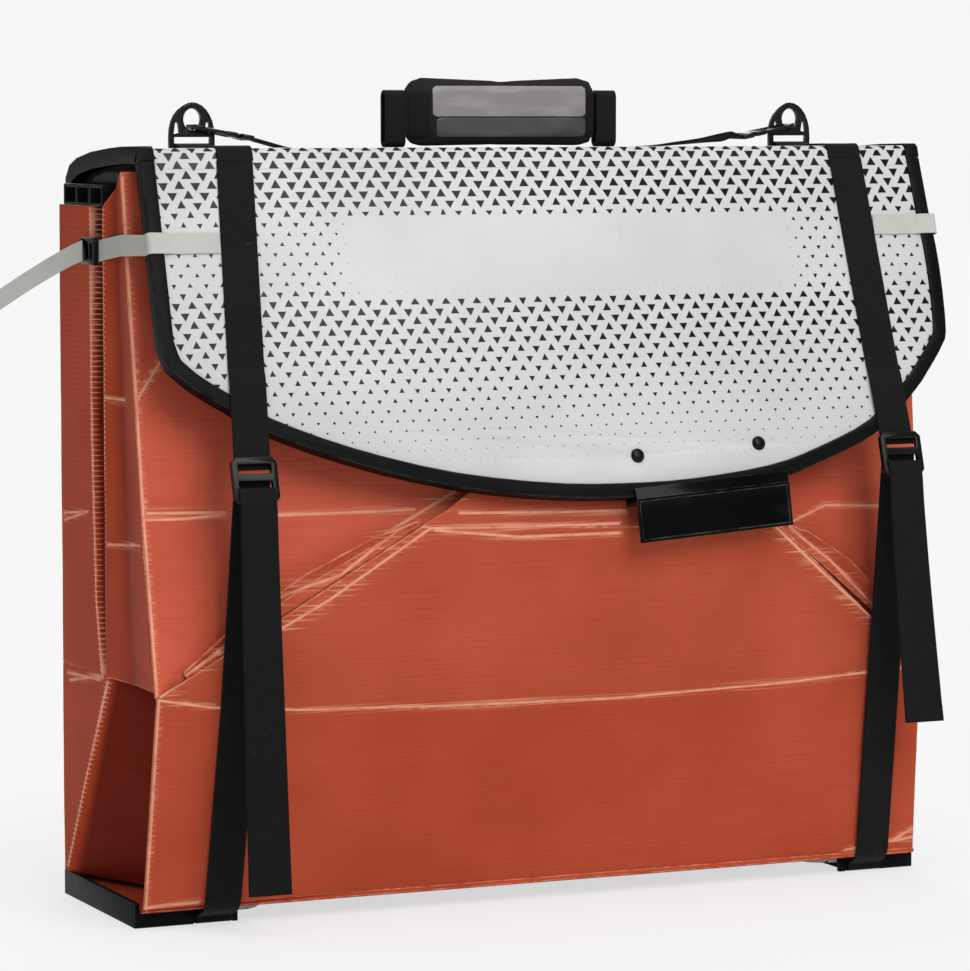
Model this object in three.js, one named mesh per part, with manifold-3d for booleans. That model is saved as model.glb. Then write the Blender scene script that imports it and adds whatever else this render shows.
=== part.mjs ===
// A folding kayak packed into its carrying box.
// The corrugated hull is folded into a block, and its floorboard wraps the block as base, back, lid and flap.
// Millimetres, +X to the right of the front, +Y to the back, +Z up.
import * as THREE from "three";
import { mergeVertices } from "three/addons/utils/BufferGeometryUtils.js";
import Module from "manifold-3d";

const wasm = await Module();
wasm.setup();

// Fits that the whole part shares
const fit_gap = 0.3;
const cut_overrun = 2;
const sheet_wall = 4.5;
const board_wall = 4.5;
const weld_gap = 0.001;
const least_turn_share = 0.3;
const halves_shares = [0, 0.5, 1];
const halfway_share = 0.5;

// How finely arcs are cut into flats
const corner_steps = 4;
const hole_steps = 6;
const scallop_steps = 8;
const loop_steps = 8;
const ring_steps = 14;
const rivet_dome_steps = 4;

// The packed block
const box_width = 838;
const base_depth = 206;
const back_reach = 102;
const hull_top_height = 677;

// The front of the hull: reach is how far a point stands before the middle plane
const ridge_top_height = 710;
const crease_end_height = 226;
const ridge_inset = 2;
const ridge_half_width = box_width / 2 - ridge_inset;
const ridge_top_reach = 76;
const left_crease_reach = 168;
const right_crease_reach = 140;
const right_crease_inset = 12;
const ridge_height_shares = [0, 0.14, 0.34, 0.6, 1];
const left_ridge_shares = [1, 0.8, 0.58, 0.36, 0];
const right_ridge_shares = [1, 0.88, 0.7, 0.45, 0];
const crease_reach = 165;
const crease_turn_share = 0.79;
const crease_sag = 26;
const crease_place_shares = [0, 0.14, 0.29, 0.45, 0.6, 0.79, 0.91, 1];
const crease_sag_shares = [0, 0.6, 0.88, 1, 0.9, 0.76, 0.6, 0.52];
const front_foot_height = 22.4;
const front_foot_reach = 118;
const left_foot_reach = 127;
const front_foot_share = 0.3;
const belly_reach = 188;
const belly_left = -160;
const belly_left_height = 377;
const belly_right = 222;
const belly_right_height = 362;
const belly_top_reach = 98;
const belly_row_shares = [0, 0.33, 0.66, 1];
const brow_row_shares = [0, 0.05, 0.1, 0.5, 1];
const brow_inset_shares = [0, 0.5, 1, 1, 1];
const left_brow_inset = 56;
const right_brow_inset = 30;
const brow_gap = 2.4;
const pleat_width = 22;
const pleat_step = 6;
const pleat_row_shares = [0.12, 0.35, 0.6, 0.85, 1];
const pleat_width_shares = [0.3, 0.85, 1, 0.7, 0.2];
const facet_row_shares = [0.03, 0.12, 0.32, 0.375, 0.6, 1];
const facet_sink_share = 0.62;
const facet_sink_run_share = 0.34;
const facet_gap = 3.2;
const crease_gap = 0.8;

// The sides of the hull
const fold_rear_reach = 11;
const fold_front_reach = 25;
const fold_depth = 60;
const fold_shut_width = 12;
const fold_shut_depth = 17;
const fold_height_shares = [0, 0.15, 0.42, 0.72, 1];
const fold_open_shares = [0, 0.45, 0.8, 0.95, 1];
const side_foot_height = 230.4;
const gusset_top_height = 229;
const gusset_top_reach = 30;
const gusset_foot_back = 90;
const pocket_depth = 88;
const gusset_row_shares = [0, 0.35, 0.7, 1];
const side_clearance = 1.2;
const ridge_clearance = 3.6;

// The floorboard under the block, and the black ends that it stands on
const base_end_height = 24;
const base_leg_height = 13.7;
const base_end_wall = 5;
const base_leg_wall = 5;
const base_ledge_width = 12;
const base_ledge_foot = 4.7;
const base_ledge_height = 4;
const base_board_foot = 9;
const left_leg_length = 104;
const right_leg_length = 84;
const scallop_depth = 43;
const scallop_run = 34;
const notch_height = 3;

// The folded leaves and the seam channels
const leaf_depth = 26;
const leaf_first_back = 80;
const leaf_count = 4;
const leaf_inset = 69;
const leaf_half_width = box_width / 2 - leaf_inset;
const rail_width = 37;
const rail_height = 20.5;
const rail_wall = 3;
const rail_half_length = box_width / 2;
const rail_rear_back = 70;
const rail_pitch = 38;
const rail_count = 3;

// The foam pad folded over the rails under the lid
const deck_pad_inset = 15;
const deck_pad_half_length = box_width / 2 - deck_pad_inset;
const deck_pad_back = 44;
const deck_pad_heel_height = 7;
const deck_pad_height = 12.5;
const deck_pad_crown_back = 6;
const deck_pad_leg = 12;
const deck_pad_chamfer = 6;

// What is stowed inside
const bulkhead_width = 420;
const bulkhead_height = 330;
const bulkhead_top_share = 0.62;
const bulkhead_wall = 6;
const bow_bulkhead_reach = 32;
const stern_bulkhead_reach = 48;
const bulkhead_offset = 190;
const seat_width = 380;
const seat_height = 360;
const seat_wall = 14;
const seat_reach = 66;
const seat_corner = 40;
const footrest_width = 420;
const footrest_height = 90;
const footrest_wall = 16;
const footrest_reach = 92;

// The floorboard round the back and the top, with its black edging
const cover_shift = 3.5;
const cover_inset = 5.5;
const cover_half_width = box_width / 2 - cover_inset;
const edging_width = 14;
const edging_proud = 2;
const edging_under = 10;
const lid_front_height = 733;
const lid_front_reach = 103.3;
const lid_rear_height = 690;
const cover_back_reach = 108;
const lid_reach_shares = [1, 1, 0.898, 0.704, 0.315, -0.174, -0.513, -0.939];
const lid_drop_shares = [1, 0.721, 0.453, 0.295, 0.147, 0.056, 0.016, 0];
const lid_corner_round = 2.5;
const flap_slope = 0.3;
const flap_hinge_drop = 12.5;
const hinge_gap = 0.4;

// The flap
const flap_length = 336.5;
const flap_across_shares = [
  -1, -0.9855, -0.961, -0.9226, -0.845, -0.758, -0.5695, -0.33, -0.074, 0.137,
  0.306, 0.502, 0.64, 0.785, 0.898, 0.944, 0.99, 1.01, 1.0157, 1.007,
];
const flap_down_shares = [
  0.515, 0.58, 0.615, 0.655, 0.716, 0.781, 0.87, 0.948, 0.991, 0.999,
  0.99, 0.959, 0.908, 0.832, 0.716, 0.655, 0.583, 0.525, 0.33, 0.17,
];
const flap_curve_steps = 54;
const rivet_left = 63;
const rivet_left_rise = 28.5;
const rivet_left_drop = flap_length - rivet_left_rise;
const rivet_right = 195;
const rivet_right_rise = 36.5;
const rivet_right_drop = flap_length - rivet_right_rise;
const rivet_shank_radius = 3;
const rivet_head_radius = 7;
const rivet_head_rise = 3.4;
const rivet_tail_radius = 5.5;
const rivet_tail_rise = 1.6;
const rivet_sides = 20;

// The clip that the rivets hold behind the flap
const clip_wall = 2.6;
const clip_left = 53;
const clip_right = 219;
const clip_tilt = 0.07;
const clip_tongue_rise = 26;
const clip_bow = 9.5;
const clip_ramp = 4;
const clip_drop = 2.5;
const clip_plate_length = 40;
const clip_lip_rise = 4;
const clip_lip_height = 12;
const clip_plate_lean = 8;

// The two box straps
const strap_width = 36;
const strap_wall = 2;
const left_strap_share = 0.76421;
const left_strap_top = -left_strap_share * cover_half_width;
const left_strap_drift = 18;
const left_foot_share = 0.81146;
const left_strap_foot = (-left_foot_share * box_width) / 2;
const right_strap_share = 0.8029;
const right_strap_top = right_strap_share * cover_half_width;
const right_strap_drift = 15;
const right_foot_share = 0.86396;
const right_strap_foot = (right_foot_share * box_width) / 2;
const strap_ramp = 7;
const strap_slack = 1.2;
const strap_under_run = 12;
const loop_bend_share = 0.6;

// The ladder-lock buckles and the loose strap ends that hang from them
const left_buckle_share = 0.88559;
const left_buckle_drop = left_buckle_share * flap_length;
const right_buckle_share = 0.87667;
const right_buckle_drop = right_buckle_share * flap_length;
const buckle_width = 45;
const buckle_length = 44;
const buckle_wall = 6;
const buckle_bar = 7;
const buckle_side_bar = 6;
const buckle_corner = 5;
const buckle_slot = 9;
const left_tail_length = 366;
const left_tail_drift = 13;
const right_tail_length = 246;
const right_tail_drift = 28;
const tail_tip_length = 16;
const tail_tip_flare = 7;
const tail_hang_shares = [0, 0.1, 0.35, 0.65];
const tail_sway = 9;
const tail_drift_power = 1.3;

// The grey side straps with their small buckles
const side_strap_width = 20;
const side_strap_wall = 1.2;
const side_strap_margin = 3;
const left_side_strap_drop = 92;
const right_side_strap_drop = 82;
const side_strap_sink = 10;
const side_strap_sink_shares = [0.25, 0.8, 1];
const side_buckle_length = 40;
const side_buckle_width = 26;
const side_buckle_wall = 5;
const side_buckle_bar = 5;
const side_buckle_slot = 8;
const side_buckle_reach = 20;
const side_tail_run = 46;
const side_tail_splay = 68;
const side_tail_sink = 47;
const side_tail_shares = [0, 0.12, 0.4, 0.7, 1];
const side_tail_splay_power = 1.15;
const side_tail_sink_power = 1.3;

// The rings that the box straps carry
const ring_width = 46;
const ring_height = 46.5;
const ring_shoulder = 14;
const ring_wall = 5;
const ring_bar = 4;
const ring_lift = 1;
const ring_slot_height = 9;
const ring_slot_side = 4.6;
const ring_eye_width = 18;
const ring_eye_height = 21;
const ring_eye_foot = 19.5;
const ring_window_shares = [0.55, 0.38, 0.82, 0.35, 0.75, 0.59, 0.61, 0.57];
const ring_back = 10;
const ring_ramp = 10;

// The snap hooks of the carry strap
const hook_loop_length = 46;
const hook_half_width = 13;
const hook_bar = 4;
const hook_wall = 5;
const hook_neck_length = 4;
const hook_neck_half = 5;
const hook_eye_length = 12;
const hook_eye_half = 16;
const hook_eye_bar = 3;
const hook_nose_height = 23.4;
const hook_fall = 12;
const hook_nose_set = 2;
const hook_chamfer = 3;
const gate_start = 12;
const gate_end = 34;
const gate_wall = 4;

// The carry strap and its shoulder pad
const carry_width = 25;
const carry_wall = 2;
const carry_left_ramp = 38;
const carry_right_ramp = 110;
const pad_left = -95;
const pad_right = 112;
const pad_height = 68;
const pad_depth = 17;
const pad_rim_share = 0.35;
const pad_corner_radius = 16;
const pad_crown_power = 6;
const pad_roll_power = 4;
const pad_columns = 16;
const pad_rows = 14;
const pad_loop_width = 21;
const pad_loop_height = 56;
const pad_loop_depth = 14;
const pad_loop_wall = 3;

// Colours, from the finishes of the real thing
const finishes = {
  sheet: { color: 0xa8442c, roughness: 0.45, metalness: 0 },
  inner_sheet: { color: 0x7a2a1c, roughness: 0.5, metalness: 0 },
  board: { color: 0xdedede, roughness: 0.4, metalness: 0 },
  edging: { color: 0x232423, roughness: 0.45, metalness: 0 },
  webbing: { color: 0x1a1a1a, roughness: 0.85, metalness: 0 },
  grey_webbing: { color: 0xbec1ba, roughness: 0.85, metalness: 0 },
  moulded: { color: 0x161616, roughness: 0.3, metalness: 0 },
  foam: { color: 0x2b2b2b, roughness: 0.9, metalness: 0 },
  pad_cloth: { color: 0x2e2e2e, roughness: 0.8, metalness: 0 },
};

const kayak = new THREE.Group();

// Adds one piece of the kayak under its name.
function add_piece(name, geometry, finish, parent = kayak) {
  const mesh = new THREE.Mesh(geometry, new THREE.MeshStandardMaterial(finishes[finish]));
  mesh.name = name;
  parent.add(mesh);
  return mesh;
}

const at = (x, y, z) => new THREE.Vector3(x, y, z);
const flat = (a, b) => new THREE.Vector2(a, b);
const mix = THREE.MathUtils.lerp;

// The signed volume inside a list of triangle corners.
function signed_volume(corners) {
  let total = 0;
  for (let i = 0; i < corners.length; i += 3) {
    total += corners[i].dot(corners[i + 1].clone().cross(corners[i + 2]));
  }
  return total / 6;
}

// A closed solid between two grids of points that lie back to back.
function grid_solid(front, rear) {
  const corners = [];
  const rows = front.length;
  const columns = front[0].length;
  const quad = (a, b, c, d) => corners.push(a, b, c, a, c, d);
  for (let r = 0; r + 1 < rows; r += 1) {
    for (let c = 0; c + 1 < columns; c += 1) {
      quad(front[r][c], front[r][c + 1], front[r + 1][c + 1], front[r + 1][c]);
      quad(rear[r][c], rear[r + 1][c], rear[r + 1][c + 1], rear[r][c + 1]);
    }
    quad(front[r][0], front[r + 1][0], rear[r + 1][0], rear[r][0]);
    const last = columns - 1;
    quad(front[r][last], rear[r][last], rear[r + 1][last], front[r + 1][last]);
  }
  for (let c = 0; c + 1 < columns; c += 1) {
    const last = rows - 1;
    quad(front[0][c], rear[0][c], rear[0][c + 1], front[0][c + 1]);
    quad(front[last][c], front[last][c + 1], rear[last][c + 1], rear[last][c]);
  }
  if (signed_volume(corners) < 0) {
    for (let i = 0; i < corners.length; i += 3) {
      [corners[i + 1], corners[i + 2]] = [corners[i + 2], corners[i + 1]];
    }
  }
  const geometry = new THREE.BufferGeometry().setFromPoints(corners);
  geometry.computeVertexNormals();
  return geometry;
}

// A sheet whose outer face is the grid of points and whose wall lies on the inward side.
function sheet(points, wall, inward) {
  const rows = points.length;
  const columns = points[0].length;
  const cell_normal = (r, c) => {
    const along = points[r + 1][c + 1].clone().sub(points[r][c]);
    const over = points[r + 1][c].clone().sub(points[r][c + 1]);
    return along.cross(over).normalize();
  };
  const middle = cell_normal(Math.floor((rows - 1) / 2), 0);
  const sense = middle.dot(inward) < 0 ? -1 : 1;
  const rear = points.map((row, r) =>
    row.map((point, c) => {
      const sum = at(0, 0, 0);
      let first = null;
      for (const i of [r - 1, r]) {
        for (const j of [c - 1, c]) {
          if (i >= 0 && i + 1 < rows && j >= 0 && j + 1 < columns) {
            const normal = cell_normal(i, j);
            first = first ?? normal;
            sum.add(normal);
          }
        }
      }
      sum.normalize();
      const stretch = 1 / Math.max(sum.dot(first), least_turn_share);
      return point.clone().addScaledVector(sum, sense * wall * stretch);
    })
  );
  return grid_solid(points, rear);
}

// The outward side of a path in the side view: the left hand of one who walks from the back over the top.
const outward = (a, b) => flat(b.y - a.y, a.x - b.x).normalize();

// The same path moved outward by a distance, with mitred corners.
function offset_path(path, distance) {
  return path.map((point, i) => {
    const before = i > 0 ? outward(path[i - 1], point) : null;
    const after = i + 1 < path.length ? outward(point, path[i + 1]) : null;
    const normal = (before ?? after).clone().add(after ?? before).normalize();
    const stretch = 1 / normal.dot(before ?? after);
    return point.clone().addScaledVector(normal, distance * stretch);
  });
}

// A flat band along a path of (y, z) points, between two distances outward of it; the middle may wander in x.
function band(path, low, high, middles, width, tip_widths = null) {
  const outer = offset_path(path, high);
  const inner = offset_path(path, low);
  const half = (i) => (tip_widths ? tip_widths[i] : width) / 2;
  const row = (line) => (side) => line.map((p, i) => at(middles[i] + side * half(i), p.x, p.y));
  const outer_row = row(outer);
  const inner_row = row(inner);
  return grid_solid([outer_row(-1), outer_row(1)], [inner_row(-1), inner_row(1)]);
}

// A band of one width whose middle stays at one x.
function straight_band(path, low, high, middle, width) {
  return band(path, low, high, path.map(() => middle), width);
}

// A flat strip through stations, each with its own direction across.
function ribbon(stations, width, wall) {
  const normal_at = (i) => {
    const from = stations[Math.max(i - 1, 0)].place;
    const to = stations[Math.min(i + 1, stations.length - 1)].place;
    return to.clone().sub(from).cross(stations[i].across).normalize();
  };
  const side = (i, across, through) =>
    stations[i].place
      .clone()
      .addScaledVector(stations[i].across, (across * width) / 2)
      .addScaledVector(normal_at(i), (through * wall) / 2);
  const line = (across, through) => stations.map((_, i) => side(i, across, through));
  return grid_solid([line(-1, 1), line(1, 1)], [line(-1, -1), line(1, -1)]);
}

// A box that reaches from one corner to the other.
function block(x0, x1, y0, y1, z0, z1) {
  const geometry = new THREE.BoxGeometry(x1 - x0, y1 - y0, z1 - z0);
  return geometry.translate((x0 + x1) / 2, (y0 + y1) / 2, (z0 + z1) / 2);
}

function to_solid(geometry) {
  const bare = geometry.clone();
  bare.deleteAttribute("normal");
  bare.deleteAttribute("uv");
  const merged = mergeVertices(bare, weld_gap);
  return new wasm.Manifold(
    new wasm.Mesh({
      numProp: 3,
      vertProperties: merged.attributes.position.array,
      triVerts: new Uint32Array(merged.index.array),
    })
  );
}

function to_geometry(solid) {
  const mesh = solid.getMesh();
  const geometry = new THREE.BufferGeometry();
  geometry.setAttribute("position", new THREE.BufferAttribute(new Float32Array(mesh.vertProperties), 3));
  geometry.setIndex(new THREE.BufferAttribute(new Uint32Array(mesh.triVerts), 1));
  const faceted = geometry.toNonIndexed();
  faceted.computeVertexNormals();
  return faceted;
}

// Several overlapping shapes as one, less the shapes that cut it.
function joined(shapes, cuts = []) {
  let solid = to_solid(shapes[0]);
  for (const shape of shapes.slice(1)) {
    solid = solid.add(to_solid(shape));
  }
  for (const shape of cuts) {
    solid = solid.subtract(to_solid(shape));
  }
  return to_geometry(solid);
}

// The front of the hull

const ridge_heights = ridge_height_shares.map((share) => mix(crease_end_height, ridge_top_height, share));

// How far the front ridge stands forward at a height, on the left (-1) or right (1).
function ridge_point(side, height) {
  const shares = side < 0 ? left_ridge_shares : right_ridge_shares;
  const crease_end = side < 0 ? left_crease_reach : right_crease_reach;
  const inset = side < 0 ? 0 : right_crease_inset;
  const foot_reach = side < 0 ? left_foot_reach : front_foot_reach;
  if (height <= crease_end_height) {
    const share = (height - front_foot_height) / (crease_end_height - front_foot_height);
    const reach = mix(foot_reach, crease_end, share);
    return at(side * (ridge_half_width - inset * share), -reach, height);
  }
  let i = 0;
  while (i + 2 < ridge_heights.length && height > ridge_heights[i + 1]) {
    i += 1;
  }
  const local = (height - ridge_heights[i]) / (ridge_heights[i + 1] - ridge_heights[i]);
  const share = mix(shares[i], shares[i + 1], local);
  return at(side * (ridge_half_width - inset * share), -mix(ridge_top_reach, crease_end, share), height);
}

// The long crease across the front, from the left ridge to the right.
const left_crease_end = ridge_point(-1, crease_end_height);
const right_crease_end = ridge_point(1, crease_end_height);
const crease_points = crease_place_shares.map((place, i) => {
  const turn = Math.max(place - crease_turn_share, 0) / (1 - crease_turn_share);
  const reach = i === 0 ? left_crease_reach : mix(crease_reach, right_crease_reach, turn);
  const x = mix(left_crease_end.x, right_crease_end.x, place);
  return at(x, -reach, crease_end_height - crease_sag * crease_sag_shares[i]);
});

// Where the crease and the foot of the front panel stand at a place across.
function crease_at(x) {
  const i = Math.max(crease_points.findIndex((point) => point.x > x), 1);
  const a = crease_points[i - 1];
  const b = crease_points[i];
  return a.clone().lerp(b, (x - a.x) / (b.x - a.x));
}
function front_foot_y(x) {
  const share = (x - left_crease_end.x) / (right_crease_end.x - left_crease_end.x);
  return -mix(left_foot_reach, front_foot_reach, Math.min(share / front_foot_share, 1));
}
const belly_corner = (side) =>
  side < 0
    ? at(belly_left, -belly_reach, belly_left_height)
    : at(belly_right, -belly_reach, belly_right_height);

// How far out the brow reaches at one of its rows: it narrows above the pleats.
function brow_edge(side, row) {
  const inset = side < 0 ? left_brow_inset : right_brow_inset;
  return belly_corner(side).x - side * inset * brow_inset_shares[row];
}
function brow_edge_at(side, share) {
  const i = Math.max(brow_row_shares.findIndex((place) => place >= share), 1);
  const local = (share - brow_row_shares[i - 1]) / (brow_row_shares[i] - brow_row_shares[i - 1]);
  return mix(brow_edge(side, i - 1), brow_edge(side, i), local);
}

function add_front_panels() {
  const foot = crease_points.map((point, i) => {
    const reach = -front_foot_y(point.x);
    const foot_x = mix(-ridge_half_width, ridge_half_width - right_crease_inset / 2, crease_place_shares[i]);
    return at(foot_x, -reach, front_foot_height);
  });
  const lower_rows = halves_shares.map((share) =>
    foot.map((point, i) => point.clone().lerp(crease_points[i], share))
  );
  lower_rows[2].forEach((point) => (point.z -= crease_gap));
  add_piece("hull_front_lower", sheet(lower_rows, sheet_wall, at(0, 1, 0)), "sheet");

  // The belly panel stands between the two slanted pleats.
  const crown = crease_points.map((point, i) =>
    belly_corner(-1).lerp(belly_corner(1), crease_place_shares[i])
  );
  const belly_rows = belly_row_shares.map((share) =>
    crease_points.map((point, i) => point.clone().lerp(crown[i], share))
  );
  belly_rows[0].forEach((point) => (point.z += crease_gap));
  add_piece("hull_front_belly", sheet(belly_rows, sheet_wall, at(0, 1, 0)), "sheet");

  // Above it the sheet leans back under the flap.
  const brow_rows = brow_row_shares.map((share, i) =>
    halves_shares.map((across) => {
      const low = belly_corner(-1).lerp(belly_corner(1), across);
      const high = at(low.x, -belly_top_reach, ridge_top_height);
      return low.lerp(high, share).setX(mix(brow_edge(-1, i), brow_edge(1, i), across));
    })
  );
  brow_rows[0].forEach((point) => (point.z += brow_gap));
  add_piece("hull_front_brow", sheet(brow_rows, sheet_wall, at(0, 1, 0)), "sheet");
}

// One slanted pleat and the side facet behind it.
function add_pleat(side, word) {
  const end = side < 0 ? left_crease_end : right_crease_end;
  const corner = belly_corner(side);
  const run = corner.clone().sub(end);
  const uphill = at(-run.z, 0, run.x).normalize().multiplyScalar(side < 0 ? 1 : -1);
  const behind = sheet_wall + crease_gap;
  const pleat_rows = pleat_row_shares.map((share, i) => {
    const open = pleat_width_shares[i];
    const near = end.clone().addScaledVector(run, share).add(at(0, behind, 0));
    const far = near.clone().addScaledVector(uphill, pleat_width * open);
    far.add(at(0, (-pleat_step * open) / 2, 0));
    near.addScaledVector(uphill, crease_gap);
    return [near, near.clone().lerp(far, halfway_share).add(at(0, pleat_step * open, 0)), far];
  });
  add_piece(`hull_pleat_${word}`, sheet(pleat_rows, sheet_wall / 2, at(0, 1, 0)), "sheet");

  const facet_depth = behind + sheet_wall + pleat_step + crease_gap;
  const inner_line = (height) => {
    const share = THREE.MathUtils.clamp((height - end.z) / (corner.z - end.z), 0, 1);
    const rise = Math.max(height - corner.z, 0) / (ridge_top_height - corner.z);
    const limit = share < 1 ? mix(end.x, corner.x, share) : brow_edge_at(side, rise);
    const x = limit + side * (share < 1 ? -facet_gap * share : 2 * crease_gap);
    const reach = mix(mix(-end.y, belly_reach, share), belly_top_reach, rise);
    const sink = facet_sink_share + ((1 - facet_sink_share) * share) / facet_sink_run_share;
    return at(x, -reach + facet_depth * Math.min(sink, 1), height);
  };
  const heights = facet_row_shares.map((share) => mix(crease_end_height, ridge_top_height, share));
  const facet_rows = heights.map((height, i) => {
    const ridge = ridge_point(side, height);
    const reach_in = inner_line(i === 0 ? height + facet_gap : height);
    return [ridge, ridge.clone().lerp(reach_in, halfway_share), reach_in];
  });
  add_piece(`hull_facet_${word}`, sheet(facet_rows, sheet_wall, at(0, 1, 0)), "sheet");
}

// The sides of the hull: a rear band, the deep fold, and a front band that runs to the ridge.
function add_side(side, word) {
  const face = side * (box_width / 2);
  const heights = fold_height_shares.map((share) => mix(side_foot_height, hull_top_height, share));
  const rows = heights.map((height, i) => {
    const open = fold_open_shares[i];
    const front = -fold_front_reach;
    const rear = mix(front + fold_shut_width, fold_rear_reach, open);
    const depth = mix(fold_shut_depth, fold_depth, open);
    const peak = height + (i === heights.length - 1 ? ridge_top_height - hull_top_height : 0);
    const ridge = ridge_point(side, peak);
    const ridge_y = ridge.y + sheet_wall + ridge_clearance;
    const corner_y = (ridge_y + front) / 2;
    const ridge_x = ridge.x - side * fit_gap;
    const hollow_x = (face + ridge_x) / 2 - side * sheet_wall;
    return [
      at(face, back_reach, height),
      at(face, rear, height),
      at(face - side * depth, (rear + front) / 2, height),
      at(face, front, height),
      at(hollow_x, corner_y, (height + peak) / 2),
      at(ridge_x, ridge_y, peak),
    ];
  });
  add_piece(`hull_side_${word}`, sheet(rows, sheet_wall, at(-side, 0, 0)), "sheet");

  // Below it a gusset folds in and leaves an open pocket behind the front panel.
  const foot = base_end_height + fit_gap;
  const gusset_rows = gusset_row_shares.map((share) => {
    const height = mix(gusset_top_height, foot, share);
    const slant = mix(-gusset_top_reach, gusset_foot_back, share);
    const ridge = ridge_point(side, height);
    const inner = ridge.y + 2 * sheet_wall + 2 * side_clearance;
    return [
      at(face, back_reach, height),
      at(face, slant, height),
      at(face - side * pocket_depth, inner, height),
    ];
  });
  add_piece(`hull_gusset_${word}`, sheet(gusset_rows, sheet_wall, at(-side, 0, 0)), "sheet");
}

// The rest of the hull sheet: the back, the bottom and the leaves folded inside.
const board_top = base_board_foot + board_wall;
const bottom_foot = board_top + fit_gap;
const bottom_top = bottom_foot + sheet_wall;
function add_hull_core() {
  const half = box_width / 2 - base_end_wall - fit_gap;
  add_piece(
    "hull_back",
    block(-half, half, back_reach - sheet_wall, back_reach, bottom_top + fit_gap, hull_top_height),
    "sheet"
  );
  const lift = front_foot_height - fit_gap;
  const bottom_rows = [
    [back_reach, bottom_top],
    [-base_depth / 2, bottom_top],
    [-front_foot_reach, lift],
  ].map(([y, z]) => [-1, 0, 1].map((side) => at(side * (half - side_clearance), y, z)));
  add_piece("hull_bottom", sheet(bottom_rows, sheet_wall, at(0, 0, -1)), "sheet");

  // The rest of the sheet lies inside in leaves, folded to and fro.
  const foot = bottom_top + fit_gap;
  const path = [];
  for (let i = 0; i < leaf_count; i += 1) {
    const back = leaf_first_back - i * leaf_depth;
    const turn = i % 2 === 0 ? 1 : -1;
    path.push(at(-turn * leaf_half_width, back, foot), at(turn * leaf_half_width, back, foot));
    if (i + 1 < leaf_count) {
      path.push(at(turn * (leaf_half_width + leaf_depth / 2), back - leaf_depth / 2, foot));
    }
  }
  const top = path.map((point) => at(point.x, point.y, hull_top_height));
  add_piece("hull_inner_leaves", sheet([path, top], sheet_wall, at(0, -1, 0)), "inner_sheet");
}

// Channels that close the deck seams, laid side by side over the leaves.
function add_seam_rails() {
  for (let i = 0; i < rail_count; i += 1) {
    const y = rail_rear_back - i * rail_pitch;
    const z = hull_top_height + fit_gap;
    const outer = block(
      -rail_half_length,
      rail_half_length,
      y - rail_width / 2,
      y + rail_width / 2,
      z,
      z + rail_height
    );
    const bore = block(
      -rail_half_length - cut_overrun,
      rail_half_length + cut_overrun,
      y - rail_width / 2 + rail_wall,
      y + rail_width / 2 - rail_wall,
      z + rail_wall,
      z + rail_height - rail_wall
    );
    add_piece(`seam_rail_${i + 1}`, joined([outer], [bore]), "moulded");
  }
}

// The foam pad lies over the two front rails and turns down before the last one.
function add_deck_pad() {
  const foot = hull_top_height + fit_gap + rail_height + fit_gap;
  const front = rail_rear_back - (rail_count - 1) * rail_pitch - rail_width / 2 - fit_gap;
  const profile = [
    flat(deck_pad_back, foot),
    flat(deck_pad_back, foot + deck_pad_heel_height),
    flat(deck_pad_crown_back, foot + deck_pad_height),
    flat(front, foot + deck_pad_height),
    flat(front - deck_pad_leg, foot + deck_pad_height - deck_pad_chamfer),
    flat(front - deck_pad_leg, hull_top_height + fit_gap),
    flat(front, hull_top_height + fit_gap),
    flat(front, foot),
  ];
  const length = 2 * deck_pad_half_length;
  const bar = new THREE.ExtrudeGeometry(new THREE.Shape(profile), { depth: length, bevelEnabled: false });
  const upright = new THREE.Matrix4().makeBasis(at(0, 1, 0), at(0, 0, 1), at(1, 0, 0));
  add_piece("deck_pad", bar.applyMatrix4(upright).translate(-deck_pad_half_length, 0, 0), "foam");
}

// Bulkheads, seat and footrest, standing on the hull bottom among the folds.
function add_stowed_parts() {
  const floor = bottom_top + fit_gap;
  const standing = (shape, wall, reach) => {
    const geometry = new THREE.ExtrudeGeometry(shape, { depth: wall, bevelEnabled: false });
    return geometry.rotateX(Math.PI / 2).translate(0, -reach, floor);
  };
  const bulkhead = (middle) =>
    new THREE.Shape([
      flat(middle - (bulkhead_width * bulkhead_top_share) / 2, 0),
      flat(middle + (bulkhead_width * bulkhead_top_share) / 2, 0),
      flat(middle + bulkhead_width / 2, bulkhead_height * bulkhead_top_share),
      flat(middle + bulkhead_width / 2, bulkhead_height),
      flat(middle - bulkhead_width / 2, bulkhead_height),
      flat(middle - bulkhead_width / 2, bulkhead_height * bulkhead_top_share),
    ]);
  const bow = bulkhead(-bulkhead_offset / 2);
  const stern = bulkhead(bulkhead_offset / 2);
  add_piece("bulkhead_bow", standing(bow, bulkhead_wall, bow_bulkhead_reach), "board");
  add_piece("bulkhead_stern", standing(stern, bulkhead_wall, stern_bulkhead_reach), "board");
  const seat = new THREE.Shape();
  seat.moveTo(-seat_width / 2, 0);
  seat.lineTo(seat_width / 2, 0);
  seat.lineTo(seat_width / 2, seat_height - seat_corner);
  seat.absarc(seat_width / 2 - seat_corner, seat_height - seat_corner, seat_corner, 0, Math.PI / 2);
  seat.lineTo(-seat_width / 2 + seat_corner, seat_height);
  seat.absarc(-seat_width / 2 + seat_corner, seat_height - seat_corner, seat_corner, Math.PI / 2, Math.PI);
  seat.closePath();
  const seat_form = { depth: seat_wall, bevelEnabled: false, curveSegments: corner_steps };
  const seat_shape = new THREE.ExtrudeGeometry(seat, seat_form);
  add_piece("seat", seat_shape.rotateX(Math.PI / 2).translate(0, -seat_reach, floor), "foam");
  const footrest = block(
    -footrest_width / 2,
    footrest_width / 2,
    -footrest_reach - footrest_wall / 2,
    -footrest_reach + footrest_wall / 2,
    floor,
    floor + footrest_height
  );
  add_piece("footrest", footrest, "foam");
}

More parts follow.
